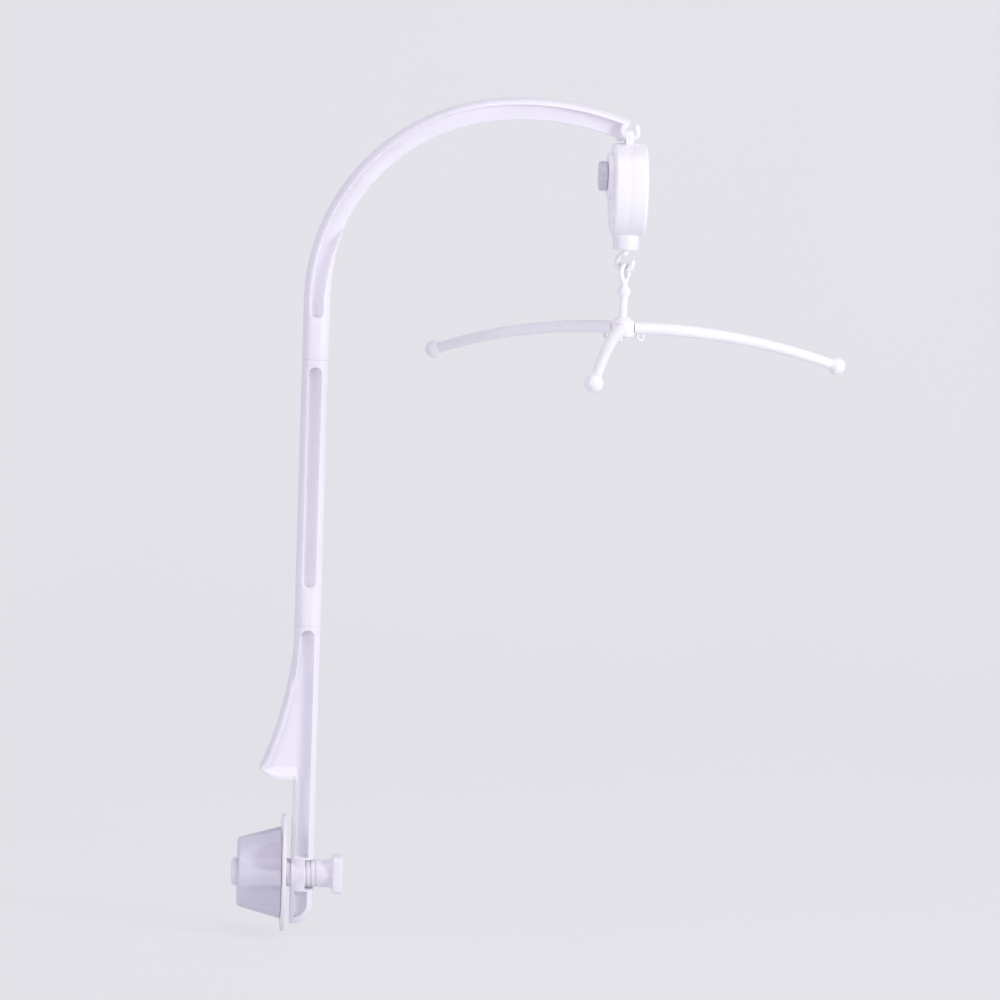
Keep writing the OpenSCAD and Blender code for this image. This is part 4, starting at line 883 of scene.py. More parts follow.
class MOBILE_OT_lower_arm(bpy.types.Operator):
    """Bottom section of the stand: flared lip, long recess, boss for the bolt and rounded foot"""

    bl_idname = "mobile.lower_arm"
    bl_label = "Lower Arm"

    def execute(self, context):
        s = settings("stand_sizes")
        half, r, blend = ARM_W / 2, s.channel / 2, s.wall_blend
        tip_x, grip = LIP_X + s.tip, -s.grip

        # the outline's circles: the underside's starts under the tip's, and the flare's touches the tip's
        belly_x = tip_x + math.sqrt((s.belly - s.tip) ** 2 - (s.belly - s.tip_height) ** 2)
        belly_turn = math.atan2(s.belly - s.tip_height, belly_x - tip_x)
        edge, top = -half + 0.4, JOINT_LOW + s.flare_start
        rise, run = top - s.tip_height, tip_x - edge
        flare = (run ** 2 + rise ** 2 - s.tip ** 2) / (2 * (s.tip - run))
        end = math.atan2(rise, run + flare)
        gap = s.boss / 2 + 0.4
        gap_top, gap_low = CLAMP_Z + gap, CLAMP_Z - gap
        rim_top, rim_low = CLAMP_Z + s.rim_gap / 2, CLAMP_Z - s.rim_gap / 2
        join_z = s.tip_height + s.tip * math.sin(end)
        belly_z = s.tip_height - s.tip * math.sin(belly_turn)

        # heights: close together where the outline or the recess turns
        head, lip_top = JOINT_LOW - 14, 24
        z_up = joined(even(JOINT_LOW, JOINT_LOW - s.joint_edge, s.joint_edge / 5),
                      even(JOINT_LOW - s.joint_edge, head, 0.5), even(head, lip_top, 1.0),
                      even(lip_top, join_z, 0.5))
        z_tip = (s.tip_height + s.tip * np.sin(np.linspace(math.pi - end, math.pi + belly_turn, 9)))[1:]
        z_belly = (s.belly + s.belly * np.sin(np.linspace(math.pi + belly_turn, 1.5 * math.pi, 44)))[1:]
        z_down = joined(even(0, gap_top + 2, 1.2), even(gap_top + 2, rim_top, 0.3))
        z_boss = even(rim_top, rim_low, 0.5)
        z_foot = joined(even(rim_low, gap_low - 2, 0.3), even(gap_low - 2, FOOT_Z + 9, 0.7),
                        even(FOOT_Z + 9, FOOT_Z, 0.25))
        runs = [np.concatenate([z_up, z_tip, z_belly]), z_down, z_boss, z_foot]
        z = np.concatenate(runs)
        kind = np.repeat(range(4), [len(run) for run in runs])

        # left and right edges of the outline at each height
        flared = np.minimum(edge - flare + chord(flare, np.clip(top - z, 0, None)), -half)
        round_tip, round_belly = tip_x - chord(s.tip, z - s.tip_height), belly_x - chord(s.belly, z - s.belly)
        under = np.where(z > belly_z, round_tip, round_belly)
        left = np.where(kind > 0, grip, np.where(z >= join_z, flared, under))
        corner_z = FOOT_Z + s.foot_round
        right = half - crest(z - FOOT_Z, s.foot_round)

        # three blocks of places: the lip's, the column's and the right rim's
        fine = np.linspace(0, 1, 25)
        span = np.maximum(grip - left, 0)
        near = np.minimum(s.flare_wall + 1.5, 0.7 * span)[:, None]
        block_a = np.concatenate([left[:, None] + near * fine ** 1.15,
                                  left[:, None] + near + (span[:, None] - near) * fine[1:]], 1)
        turn_x = np.minimum(s.boss_end, grip + 0.55 * (right - grip))[:, None]
        block_b = grip + (turn_x - grip) * np.linspace(0, 1, 32)[1:]
        block_c = turn_x + (right[:, None] - turn_x) * (1 - (1 - np.linspace(0, 1, 24)[1:]) ** 1.25)
        x = np.concatenate([block_a, block_b, block_c], 1)
        low_rows = kind > 0
        x[low_rows, :block_a.shape[1]] = grip

        # depth of the plain outside: the column's rounded section and the flare's flat web
        from_right = np.where(z[:, None] > corner_z, half - x,
                              s.foot_round - np.hypot(x - (half - s.foot_round), z[:, None] - corner_z))
        rim = ARM_D / 2 - crest(from_right, s.edge_round)
        column = np.where(np.abs(x) <= half, np.minimum(rim, half_depth(np.clip(x, -half, 0))), 0)
        column = np.where(x > 0, rim, column)
        flare_edge = s.flare_edge * smooth((z - belly_z) / 8)[:, None] + 1.2
        flat_half = ARM_D / 2 - s.edge_round
        web_half = flat_half + (s.flare_half - flat_half) * smooth((-half - left) / 7.0)[:, None]
        web = web_half - crest(np.clip(x - left[:, None], 0, None), flare_edge)
        outside = np.where((kind == 0)[:, None], soft_max(column, np.where(x < 0, web, 0), 2.0), column)
        boss = chord(s.boss / 2, z - CLAMP_Z)[:, None]
        outside = np.where((kind == 2)[:, None], np.maximum(outside, boss), outside)
        inset = draw_in(z, (JOINT_LOW,), s.joint_edge)

        # recess: floor at the web, or on the ramp over the lip
        recess = self.recess(s, r, edge - flare, flare, top, belly_x, gap_top)
        foot = self.foot_recess(s, r, corner_z, gap_low)
        z_all = np.broadcast_to(z[:, None], x.shape)
        distance = np.minimum(outline_distance(x, z_all, recess), outline_distance(x, z_all, foot))
        slope = (s.flare_half - s.web / 2 + 0.6) / (s.lip_ramp - 0.2)
        ramp_y = np.where(x < grip + s.lip_wall, s.web / 2 - 1 + (s.lip_ramp + 1.4 - z[:, None]) * slope, 0)
        floor = np.minimum(soft_max(np.full_like(x, s.web / 2), ramp_y, 0.25), outside)
        rim = np.maximum(outside - crest(distance, s.crest), floor)
        y = floor + (rim - floor) * step_over(distance, blend) - inset
        x = x * (1 - inset * 2 / ARM_W)

        # rows under the lip and beside the boss fold their outer blocks onto a plane
        count, end = block_a.shape[1], block_a.shape[1] + block_b.shape[1]
        y[low_rows, :count] = y[low_rows, count, None] * np.linspace(0, 1, count)
        boss_rows = kind == 2
        x[boss_rows, end:] = s.boss_end
        y[boss_rows, end - 1:] = outside[boss_rows, end - 1, None] * np.linspace(1, 0, x.shape[1] - end + 1)

        plug = tenon_rings(np.linspace(-half, half, x.shape[1]), JOINT_LOW)[::-1]
        obj = Piece().loft(np.concatenate([plug, upright(section_loops(x, y), z)])).build(
            "lower_arm_moulded", "lower_arm", sharp=42)
        carve(obj, self.bore())
        return {"FINISHED"}

    def recess(self, s, r, flare_x, flare, top, belly_x, gap_top):
        """Outline of the long recess: round top, the flare's wall, the underside's wall, then the column.

        The flare's wall and the underside's wall are circles; they meet where both radii agree.
        """
        inner = -s.grip + s.lip_wall
        head = JOINT_LOW - s.recess_margin - r
        wall, under = flare + s.flare_wall, s.belly - s.lip_wall
        step = np.array([belly_x - flare_x, s.belly - top])
        span = math.hypot(*step)
        along = (wall ** 2 - under ** 2 + span ** 2) / (2 * span)
        turn = math.degrees(math.atan2(step[1], step[0]) - math.acos(along / wall))
        first = -math.degrees(math.asin((top - head + 4) / wall))
        left = arc(flare_x, top, wall, first, turn, 30)
        start = 180 + math.degrees(math.atan2(s.belly - left[-1, 1], belly_x - left[-1, 0]))
        return np.vstack([
            arc(0, head, r, 0, 180, 24),
            left,
            arc(belly_x, s.belly, under, start, 270, 16),
            [[inner, s.lip_wall], [inner, gap_top], [r, gap_top]],
        ])

    def foot_recess(self, s, r, corner_z, gap_low):
        """Outline of the foot's recess, whose outer wall follows the foot's rounded corner."""
        inner = -s.grip + s.lip_wall
        x, wall = ARM_W / 2 - s.foot_round, s.foot_round - (ARM_W / 2 - r)
        first = -math.degrees(math.acos((inner - x) / wall))
        return np.vstack([[[inner, gap_low]], arc(x, corner_z, wall, first, 0, 20), [[r, gap_low]]])

    def bore(self):
        """Cutter for the bolt's bore: a cylinder along X with a flat top and bottom."""
        a = circle(96)
        rings = [around(ARM_X + end, BORE_R, a, 0) for end in (-ARM_W, ARM_W)]
        return Piece().loft(np.array(rings).clip([-np.inf, -np.inf, -BORE_FLAT], [np.inf, np.inf, BORE_FLAT])
                            + [0, 0, CLAMP_Z]).cutter()


# ---------------------------------------------------------------- clamp


class MOBILE_OT_clamp_bolt(bpy.types.Operator):
    """Clamp bolt: a coarse right-hand thread with two flats, a plain shank and a square head"""

    bl_idname = "mobile.clamp_bolt"
    bl_label = "Clamp Bolt"

    def execute(self, context):
        s = settings("clamp_sizes")
        start, end = BOLT_LOW[0], BOLT_HIGH[0]
        neck = end - s.head
        thread_end, front_groove = ARM_X + ARM_W / 2 + 4.6, ARM_X + 4.1
        x = np.concatenate([[start, start + 0.01], even(start + 0.3, start + 2.2, 0.3),
                            even(start + 2.4, thread_end + 2, 0.3), even(thread_end + 3, neck + 0.4, 1.5)])
        a, place = circle(84), x[:, None]
        body = BOLT_R - np.clip((start + 2.0 - x) / 2.0, 0, 1) * 1.8
        body[0] = 0.01
        phase = ((place - front_groove) / s.pitch - (a[None] - np.pi) / (2 * np.pi)) % 1.0
        groove = smooth((0.5 - np.abs(phase - 0.5)) / 0.16)
        ends = smooth((place - start - 0.6) / 2.5) * smooth((thread_end - place) / 2.5)
        radius = body[:, None] - s.thread * (1 - groove) * ends
        z = np.clip(radius * np.sin(a), -BOLT_FLAT, BOLT_FLAT)
        piece = Piece().loft(np.stack([place + 0 * z, radius * np.cos(a), CLAMP_Z + z], -1))
        piece.loft(self.head(s, neck, end))
        piece.loft(self.collar(neck))
        piece.build("clamp_bolt_threaded", "clamp_bolt", sharp=50)
        return {"FINISHED"}

    def head(self, s, start, end):
        """Rings of the square head: a rounded square whose edges turn over by a small radius."""
        half, e = (BOLT_HIGH[2] - BOLT_LOW[2]) / 2, s.edge
        square = rounded_rectangle(half, half, 3.0, 8)
        rise, run = quarter(6)
        x = np.concatenate([[start], start + e * run, end - e * run[::-1], [end]])
        inset = np.concatenate([[half], e * (1 - rise), e * (1 - rise)[::-1], [half]])
        scale = np.maximum((half - inset) / half, 0.02)
        rings = scale[:, None, None] * square
        return np.stack([x[:, None] + 0 * rings[..., 0], rings[..., 0], CLAMP_Z + rings[..., 1]], -1)

    def collar(self, start):
        """Rings of the low collar between the shank and the head, flat at its top and bottom."""
        r, thick, e, flat = 12.2, 1.6, 0.6, 11.4
        rise, run = quarter(5)
        low, high = start - thick, start + 0.5
        profile = np.vstack([[[0.1, low]], np.column_stack([r - e + e * rise, low + e * run]),
                             [[r, high], [0.1, high]]])
        rings = revolve(profile, (0, 0, 0), "X", 72)
        rings[..., 2] = CLAMP_Z + np.clip(rings[..., 2], -flat, flat)
        return np.swapaxes(rings, 0, 1)


class MOBILE_OT_pressure_plate(bpy.types.Operator):
    """Pressure plate: a thin round disc with a soft edge, and the ring that locates the knob"""

    bl_idname = "mobile.pressure_plate"
    bl_label = "Pressure Plate"

    def execute(self, context):
        r, e, thick = (PLATE_HIGH[1] - PLATE_LOW[1]) / 2, 1.1, 3.2
        tip, face = PLATE_LOW[0], PLATE_HIGH[0]
        back = face - thick
        profile = np.vstack([
            [[BORE_R, face], [RING_IN, face], [r * 0.6, face]],
            arc(r - e, face - e, e, 90, 0, 8),
            arc(r - e, back + e, e, 0, -90, 8),
            [[RING_OUT + 0.6, back], [RING_OUT + 0.15, back - 0.15], [RING_OUT, back - 0.6],
             [RING_OUT, tip + 0.3], [RING_OUT - 0.3, tip], [RING_IN + 0.3, tip], [RING_IN, tip + 0.3],
             [RING_IN, back], [BORE_R, back]],
        ])
        Piece().loft(revolve(profile, (0, 0, CLAMP_Z), "X", 144), wrap=True).build(
            "pressure_plate_moulded", "pressure_plate")
        return {"FINISHED"}


class MOBILE_OT_clamp_knob(bpy.types.Operator):
    """Clamp knob: a tapered nut with scallops cut parallel to the bolt"""

    bl_idname = "mobile.clamp_knob"
    bl_label = "Clamp Knob"

    def execute(self, context):
        s = settings("clamp_sizes")
        left, right = KNOB_LOW[0], KNOB_HIGH[0]
        big = max(KNOB_HIGH[1:] - KNOB_LOW[1:]) / 2
        small, e, lip_e = s.face / 2, 3.0, 0.8
        a = circle(216)
        turned = arc(small - e, left + e, e, -90, -14, 10)
        skirt = turned[-1] + np.linspace(0, 1, 16)[1:-1, None] * ([big - 0.1, right - lip_e] - turned[-1])
        lip = arc(big - 0.9, right - lip_e, lip_e, 0, 90, 5)
        outside = np.vstack([turned, skirt, lip])
        cut = scalloped(a, s.scallop_offset, s.scallop, s.scallops, math.radians(s.scallop_turn), 90.0)
        radius = soft_min(outside[:, :1] + 0 * a, cut[None] + 0 * outside[:, :1], 0.35)
        floor = right - GROOVE_DEEP
        groove = ((GROOVE_OUT, right), (GROOVE_OUT, floor), (GROOVE_IN, floor), (GROOVE_IN, right),
                  (BORE_R, right))
        rings = [around(left, BORE_R + (radius[0] - BORE_R) * f, a, CLAMP_Z) for f in (0, 0.35, 0.75)]
        rings += [around(x, r, a, CLAMP_Z) for x, r in zip(outside[:, 1], radius)]
        rings += [around(x, r, a, CLAMP_Z) for r, x in groove]
        Piece().loft(np.array(rings), wrap=True).build("clamp_knob_moulded", "clamp_knob", sharp=45)
        return {"FINISHED"}


# ---------------------------------------------------------------- music box


def bail_radius(s):
    """Radius of the middle line of the bail's strap: the hole round the finger and half the strap."""
    return settings("stand_sizes").finger + HOLE_GAP + s.strap / 2


def strap_path(axis_z, radius, foot_z):
    """Middle line of the bail in (y, z): a foot, a leg, half a ring and the same again."""
    toe, e = 1.4, 0.8
    foot = np.vstack([[[-radius - toe, foot_z]], arc(-radius - e, foot_z + e, e, -90, 0, 5)])
    legs = even(foot_z + 1.2, axis_z, 1.0)
    half = np.vstack([foot, np.column_stack([np.full(len(legs), -radius), legs])[:-1]])
    return np.vstack([half, arc(0, axis_z, radius, 180, 0, 40), half[::-1] * [-1, 1]])


class MOBILE_OT_bail(bpy.types.Operator):
    """Bail: a flat strap bent over the finger, with two feet held inside the case"""

    bl_idname = "mobile.bail"
    bl_label = "Hanger Bail"

    def execute(self, context):
        s = settings("box_sizes")
        radius = bail_radius(s)
        line = strap_path(BAIL_HIGH[2] - radius - s.strap / 2, radius, BAIL_LOW[2] + s.strap / 2 - 0.4)
        ahead = unit(np.gradient(line, axis=0))
        normal = np.column_stack([-ahead[:, 1], ahead[:, 0]])
        section = rounded_rectangle((BAIL_HIGH[0] - BAIL_LOW[0]) / 2, s.strap / 2, 0.45, 4)
        across, out = section[None, :, 0], section[None, :, 1]
        rings = np.stack([HANG_X + across + 0 * line[:, :1], line[:, :1] + normal[:, :1] * out,
                          line[:, 1:] + normal[:, 1:] * out], -1)
        Piece().loft(rings).build("hanger_bail_strap", "hanger_bail")
        return {"FINISHED"}


def shell_profile(s, outer, bulge, sign):
    """Closed half outline (radius, place along X) of one shell, mouth at 0.

    The outside runs from the middle of the face over the rounded edge to the seam, which is
    slightly rounded; the inside follows at the wall's thickness.
    """
    face = np.linspace(0.01, 1, 12)
    flat, inner, back = CASE_R - s.edge, CASE_R - s.wall, outer - s.wall
    profile = np.vstack([
        np.column_stack([flat * face, outer + bulge * (1 - face ** 2)]),
        arc(flat, outer - s.edge, s.edge, 86, 4, 10),
        arc(CASE_R - s.seam, s.seam, s.seam, 0, -80, 4),
        [[inner, 0.02], [inner, back - 2.0], [inner - 0.6, back - 0.6], [inner - 2.0, back], [0.01, back]],
    ])
    return profile * [1, sign]


def half_neck(s, sign):
    """Rings of half the neck: a half disc with a notch for the spindle, rounded at the bottom edge."""
    r, e = s.neck / 2, 1.0
    rise, run = quarter(6)
    heights = np.append(NECK_Z + e * run, neck_top(s))
    radii = np.append(r - e + e * rise, r)
    a = np.radians(np.linspace(-90, 90, 33))
    rings = []
    for z, radius in zip(heights, radii):
        r = np.append(np.full(len(a), radius), np.full(len(a[::-2]), SPINDLE_HOLE_R))
        t = np.append(a, a[::-2])
        x = HANG_X + sign * (r * np.cos(t) + 0.02)
        rings.append(np.column_stack([x, r * np.sin(t), np.full(len(t), z)]))
    return np.array(rings)


def neck_top(s):
    """Height at which the neck ends inside the case."""
    return CASE_Z - CASE_R + s.wall + 1


def leg_slots(s):
    """Rings of the two cutters for the bail's legs."""
    gap = 0.12
    w, t = (BAIL_HIGH[0] - BAIL_LOW[0]) / 2 + gap, s.strap / 2 + gap
    corners = (-w, -t), (w, -t), (w, t), (-w, t)
    heights = CASE_Z + CASE_R - 8, CASE_Z + CASE_R + 4
    return [np.array([[[HANG_X + x, side * bail_radius(s) + y, z] for x, y in corners] for z in heights])
            for side in (-1, 1)]


class MOBILE_OT_case_shells(bpy.types.Operator):
    """The two halves of the music box case, with the split neck and the raised pad round the key"""

    bl_idname = "mobile.case_shells"
    bl_label = "Case Shells"

    def execute(self, context):
        s = settings("box_sizes")
        face = BACK_LOW[0] + s.pad_height
        sinks = [self.screw_sink(face, y, z) for y, z in self.screw_places()]
        self.shell(s, "front_shell", FRONT_HIGH[0] - HANG_X - s.bulge, s.bulge - 0.1, 1, [self.pry_slot(s)])
        back = self.shell(s, "back_shell", HANG_X - face, 0.0, -1, sinks)
        self.add_pad(back, s, face - s.pad_height)
        return {"FINISHED"}

    def shell(self, s, node, depth, bulge, sign, cuts):
        """One half of the case with its half of the neck, less the bail's slots and its own cuts."""
        profile = shell_profile(s, depth, bulge, sign)
        piece = Piece().loft(revolve(profile, (HANG_X, 0, CASE_Z), "X", 144), wrap=True)
        obj = piece.loft(half_neck(s, sign)).build(f"{node}_moulded", node)
        cutter = Piece()
        for rings in leg_slots(s) + cuts:
            cutter.loft(rings)
        carve(obj, cutter.cutter())
        return obj

    def pry_slot(self, s):
        """Rings of the cutter for the shallow slot on the seam where the halves are prised apart."""
        a = math.radians(s.pry_angle)
        out, across = np.array([math.cos(a), math.sin(a)]), np.array([-math.sin(a), math.cos(a)])
        deep, length, half = 0.98, 4.18, 0.98
        corners = (-deep, -half), (1, -half), (1, half), (-deep, half)
        loop = [out * (CASE_R + d) + across * w for d, w in corners]
        return np.array([[[HANG_X + x, y, CASE_Z + z] for y, z in loop] for x in (-1.0, length)])

    def screw_places(self):
        """Middles of the four case screws, from the box round them."""
        y = (SCREWS_HIGH[1] - SCREWS_LOW[1]) / 2 - SCREW_HEAD_R
        high, low = SCREWS_HIGH[2] - SCREW_HEAD_R, SCREWS_LOW[2] + SCREW_HEAD_R
        return [(y, high), (-y, high), (y, low), (-y, low)]

    def screw_sink(self, face, y, z):
        """Rings of the cutter for a screw head's round recess in the back face."""
        ends = face - 2, face + 1.4
        return np.array([around(x, SCREW_SINK_R, circle(40), z) + [0, y, 0] for x in ends])

    def add_pad(self, obj, s, outer):
        """Joins the raised pad to the back shell: a low disc with a soft edge and a fine groove."""
        e, groove, root = 0.9, s.pad - 2.6, outer + s.pad_height + 0.6
        rise, run = quarter(7)
        profile = np.vstack([
            [[0.01, outer], [groove - 0.7, outer], [groove - 0.35, outer + 0.12],
             [groove, outer + 0.5], [groove + 0.35, outer + 0.12], [groove + 0.7, outer]],
            np.column_stack([s.pad - e + e * rise, outer + e * run]),
            [[s.pad, root], [0.01, root]],
        ])
        pad = Piece().loft(revolve(profile, (0, 0, KEY_Z), "X", 120), wrap=True).mesh("pad", 1e-7)
        bm = bmesh.new()
        bm.from_mesh(obj.data)
        bm.from_mesh(pad)
        bm.to_mesh(obj.data)
        bm.free()
        shade(obj.data)
        bpy.data.meshes.remove(pad)


class MOBILE_OT_winding_key(bpy.types.Operator):
    """Winding key: a short fluted knob with soft edges"""

    bl_idname = "mobile.winding_key"
    bl_label = "Winding Key"

    def execute(self, context):
        s = settings("box_sizes")
        left, right, e = KEY_LOW[0], KEY_HIGH[0], 1.3
        a = circle(20 * s.flutes)
        cut = scalloped(a, KEY_R + 2.2, 3.0, s.flutes, -np.pi / s.flutes, 99.0)
        profile = np.vstack([
            [[0.02, left + 0.5], [KEY_R * 0.45, left + 0.35], [KEY_R * 0.6, left]],
            arc(KEY_R - e, left + e, e, -90, 0, 8),
            [[KEY_R, right - 0.6]],
            arc(KEY_R - 0.5, right - 0.5, 0.5, 0, 90, 4),
            [[0.02, right]],
        ])
        rings = [around(x, np.maximum(soft_min(r + 0 * a, cut, 0.5), 0.01), a, KEY_Z) for r, x in profile]
        Piece().loft(np.array(rings)).build("winding_key_fluted", "winding_key")
        return {"FINISHED"}


class MOBILE_OT_output_hook(bpy.types.Operator):
    """Output spindle: an upright shaft that curls into an open ring hook, and its flange in the neck"""

    bl_idname = "mobile.output_hook"
    bl_label = "Output Hook"

    def execute(self, context):
        s = settings("box_sizes")
        ring_z = SPINDLE_LOW[2] + s.hook_wire + s.hook
        turn = math.radians(-s.hook_turn)
        joint = 128.0  # degrees round the ring at which the curve from the shaft runs into it
        ring = arc(0, ring_z, s.hook, joint, 365, 70)
        start, leave = np.array([0, ring_z + s.hook + 1.6]), ring[0]
        aim = np.array([-math.sin(math.radians(joint)), math.cos(math.radians(joint))])
        t = np.linspace(0, 1, 15)[:-1, None]
        pull = 5.0
        down = np.array([0, -1.0])
        curve = ((2 * t ** 3 - 3 * t ** 2 + 1) * start + (t ** 3 - 2 * t ** 2 + t) * pull * down
                 + (3 * t ** 2 - 2 * t ** 3) * leave + (t ** 3 - t ** 2) * pull * aim)
        stem = np.column_stack([np.zeros(30), np.linspace(SPINDLE_HIGH[2] - 3, start[1], 31)[:-1]])
        line = np.vstack([stem, curve, ring])
        x, z = line.T
        path = np.column_stack([HANG_X + x * math.cos(turn), x * math.sin(turn), z])
        radius = np.concatenate([np.full(len(stem), SPINDLE_R), np.full(len(ring), s.hook_wire)])
        radius = np.insert(radius, len(stem), np.linspace(SPINDLE_R, s.hook_wire, len(curve)))
        low, high = neck_top(s) + 0.3, neck_top(s) + 1.7
        flange = [[0.01, low], [FLANGE_R, low], [FLANGE_R, high], [0.01, high]]
        piece = Piece().loft(tube(path, radius, (0, 1, 0), 40, True))
        piece.loft(revolve(flange, (HANG_X, 0, 0), "Z", 48), wrap=True)
        piece.build("output_hook_moulded", "output_spindle")
        return {"FINISHED"}


# ---------------------------------------------------------------- link and spreader


class MOBILE_OT_hanger_link(bpy.types.Operator):
    """Hanger link: an eye on the hook, a short neck, a bead, and a stem that snaps through the hub"""

    bl_idname = "mobile.hanger_link"
    bl_label = "Hanger Link"

    def execute(self, context):
        s = settings("spreader_sizes")
        eye_z = LINK_HIGH[2] - s.eye - s.eye_wire
        face = math.radians(90 - settings("box_sizes").hook_turn)
        t, a = circle(96)[:, None], circle(28)[None]
        out, across = s.eye + s.eye_wire * np.cos(a), s.eye_wire * np.sin(a)
        along = out * np.cos(t)
        eye = np.stack([HANG_X + along * math.cos(face) - across * math.sin(face),
                        along * math.sin(face) + across * math.cos(face), eye_z + out * np.sin(t)], -1)
        piece = Piece().loft(eye, wrap=True)

        # neck, bead and stem, then the lip that snaps under the hub
        bead_z = eye_z - s.eye - s.bead_drop
        bead_r, stem_r, neck_r, lip = s.bead / 2, s.stem / 2, 2.7, 5.4
        foot, hub_low = LINK_LOW[2], HUB_LOW[2]
        z = np.concatenate([even(eye_z - s.eye + 0.6, bead_z - bead_r - 2, 0.25),
                            even(bead_z - bead_r - 2.5, hub_low - 0.1, 2.0)])
        plain = np.where(z > bead_z, neck_r + 0.5 * smooth((z - (eye_z - s.eye - 2)) / 2.5), stem_r)
        profile = np.vstack([
            [[0.01, z[0]]],
            np.column_stack([soft_max(plain, chord(bead_r, z - bead_z), 0.9), z]),
            [[lip - 0.5, hub_low - 0.12], [lip, hub_low - 0.5], [lip - 0.3, hub_low - 1.0],
             [lip - 1.6, foot + 0.35], [lip - 3.0, foot], [0.01, foot]],
        ])
        piece.loft(revolve(profile, (HANG_X, 0, 0), "Z", 64), wrap=True)
        piece.build("hanger_link_moulded", "hanger_link")
        return {"FINISHED"}


class MOBILE_OT_spreader_hub(bpy.types.Operator):
    """Spreader hub: a short barrel with a coned cap and rounded edges"""

    bl_idname = "mobile.spreader_hub"
    bl_label = "Spreader Hub"

    def execute(self, context):
        r = (HUB_HIGH[0] - HUB_LOW[0]) / 2
        low, high = HUB_LOW[2], HUB_HIGH[2]
        bore = settings("spreader_sizes").stem / 2 + 0.1
        cone = high - 3
        profile = np.vstack([
            [[bore, low]],
            arc(r - 2.2, low + 2.2, 2.2, -90, 0, 8),
            arc(r - 1.2, cone - 1.2, 1.2, 0, 62, 6),
            [[r - 3.2, cone + 1.5], [bore + 1.8, high - 0.3]],
            arc(bore + 1.1, high - 0.6, 0.6, 70, 120, 4),
            [[bore, high - 0.4]],
        ])
        Piece().loft(revolve(profile, (HANG_X, 0, 0), "Z", 96), wrap=True).build(
            "spreader_hub_moulded", "spreader_hub")
        return {"FINISHED"}


def arm_direction(node):
    """Direction of a spreader arm in plan: from the hub's axis to its box's far corner, less the ball."""
    low, high = box(node) - np.array([HANG_X, 0, 0])
    span = np.array([max(low[i], high[i], key=abs) for i in (0, 1)])
    span -= np.sign(span) * settings("spreader_sizes").ball / 2
    return math.atan2(span[1], span[0])


class MOBILE_OT_spreader_arms(bpy.types.Operator):
    """The three spreader arms: drooping tapered tubes, each with a ball end and a string eyelet"""

    bl_idname = "mobile.spreader_arms"
    bl_label = "Spreader Arms"

    def execute(self, context):
        for node in ("front_arm", "left_arm", "right_arm"):
            self.build_arm(node, settings("spreader_sizes"))
        return {"FINISHED"}

    def build_arm(self, node, s):
        """One arm: its centre line is an arc of the droop radius, and its radius runs from the tube's
        taper into the ball's circle with a soft neck."""
        angle = arm_direction(node)
        hub_z, hub_r, ball_r = HUB_HIGH[2] - 9, (HUB_HIGH[0] - HUB_LOW[0]) / 2, s.ball / 2
        start, end = math.asin((hub_r - 0.3) / s.droop), math.asin(s.reach / s.droop)
        fine, tip = end - (ball_r + 5) / s.droop, end + (ball_r * 0.995) / s.droop
        t = joined(np.linspace(start, fine, 60), np.linspace(fine, tip, 56))
        along = (t - end) * s.droop
        ball = chord(ball_r, along)
        taper = (s.root_tube + (s.tip_tube - s.root_tube) * (t - start) / (end - start)) / 2
        radius = np.maximum(np.where(along < 0, soft_max(taper, ball, 1.6), ball), 0.02)
        path = np.column_stack([s.droop * np.sin(t), 0 * t, hub_z - s.droop + s.droop * np.cos(t)])
        piece = Piece().loft(self.turned(tube(path, radius, (0, 0, 1), 44), angle))

        # spigot in the hub, and the string eyelet under the arm
        out = np.linspace(hub_r - 3.2, hub_r + 1, 4)
        spigot = np.column_stack([out, 0 * out, 0 * out + hub_z])
        piece.loft(self.turned(tube(spigot, 3.15, (0, 0, 1), 32), angle))
        drop = s.droop - math.sqrt(s.droop ** 2 - s.eyelet_out ** 2)
        hole, thick, e = s.eyelet_hole, 1.2, 0.45
        rise, run = quarter(5)
        wall = np.vstack([
            np.column_stack([s.eyelet - e + e * rise, -thick + e * run]),
            np.column_stack([s.eyelet - e * run, thick - e * (1 - rise)]),
            [[hole + 0.3, thick], [hole, thick - 0.3], [hole, -thick + 0.3], [hole + 0.3, -thick]],
        ])
        ring = revolve(wall, (0, 0, 0), "X", 56)[..., [1, 0, 2]]
        eye_z = hub_z - drop - 4.6 - s.eyelet + 1.6
        piece.loft(self.turned(ring + [s.eyelet_out, 0, eye_z], angle), wrap=True)
        piece.build(f"{node}_moulded", node)

    def turned(self, rings, angle):
        """Rings about the Z axis turned by an angle and set on the hub's axis."""
        c, s = math.cos(angle), math.sin(angle)
        x, y, z = rings[..., 0], rings[..., 1], rings[..., 2]
        return np.stack([HANG_X + x * c - y * s, x * s + y * c, z], -1)


# ---------------------------------------------------------------- movement and stage


class MOBILE_OT_movement_finishes(bpy.types.Operator):
    """Gives the screws and the wind-up movement inside the case their metal finishes"""

    bl_idname = "mobile.movement_finishes"
    bl_label = "Movement Finishes"

    def execute(self, context):
        for name, obj in frame["nodes"].items():
            if obj.hide_render:
                continue
            material = finish(slot_of(name))
            if not obj.material_slots:
                obj.data.materials.append(material)
            for slot in obj.material_slots:
                slot.material = material
        return {"FINISHED"}


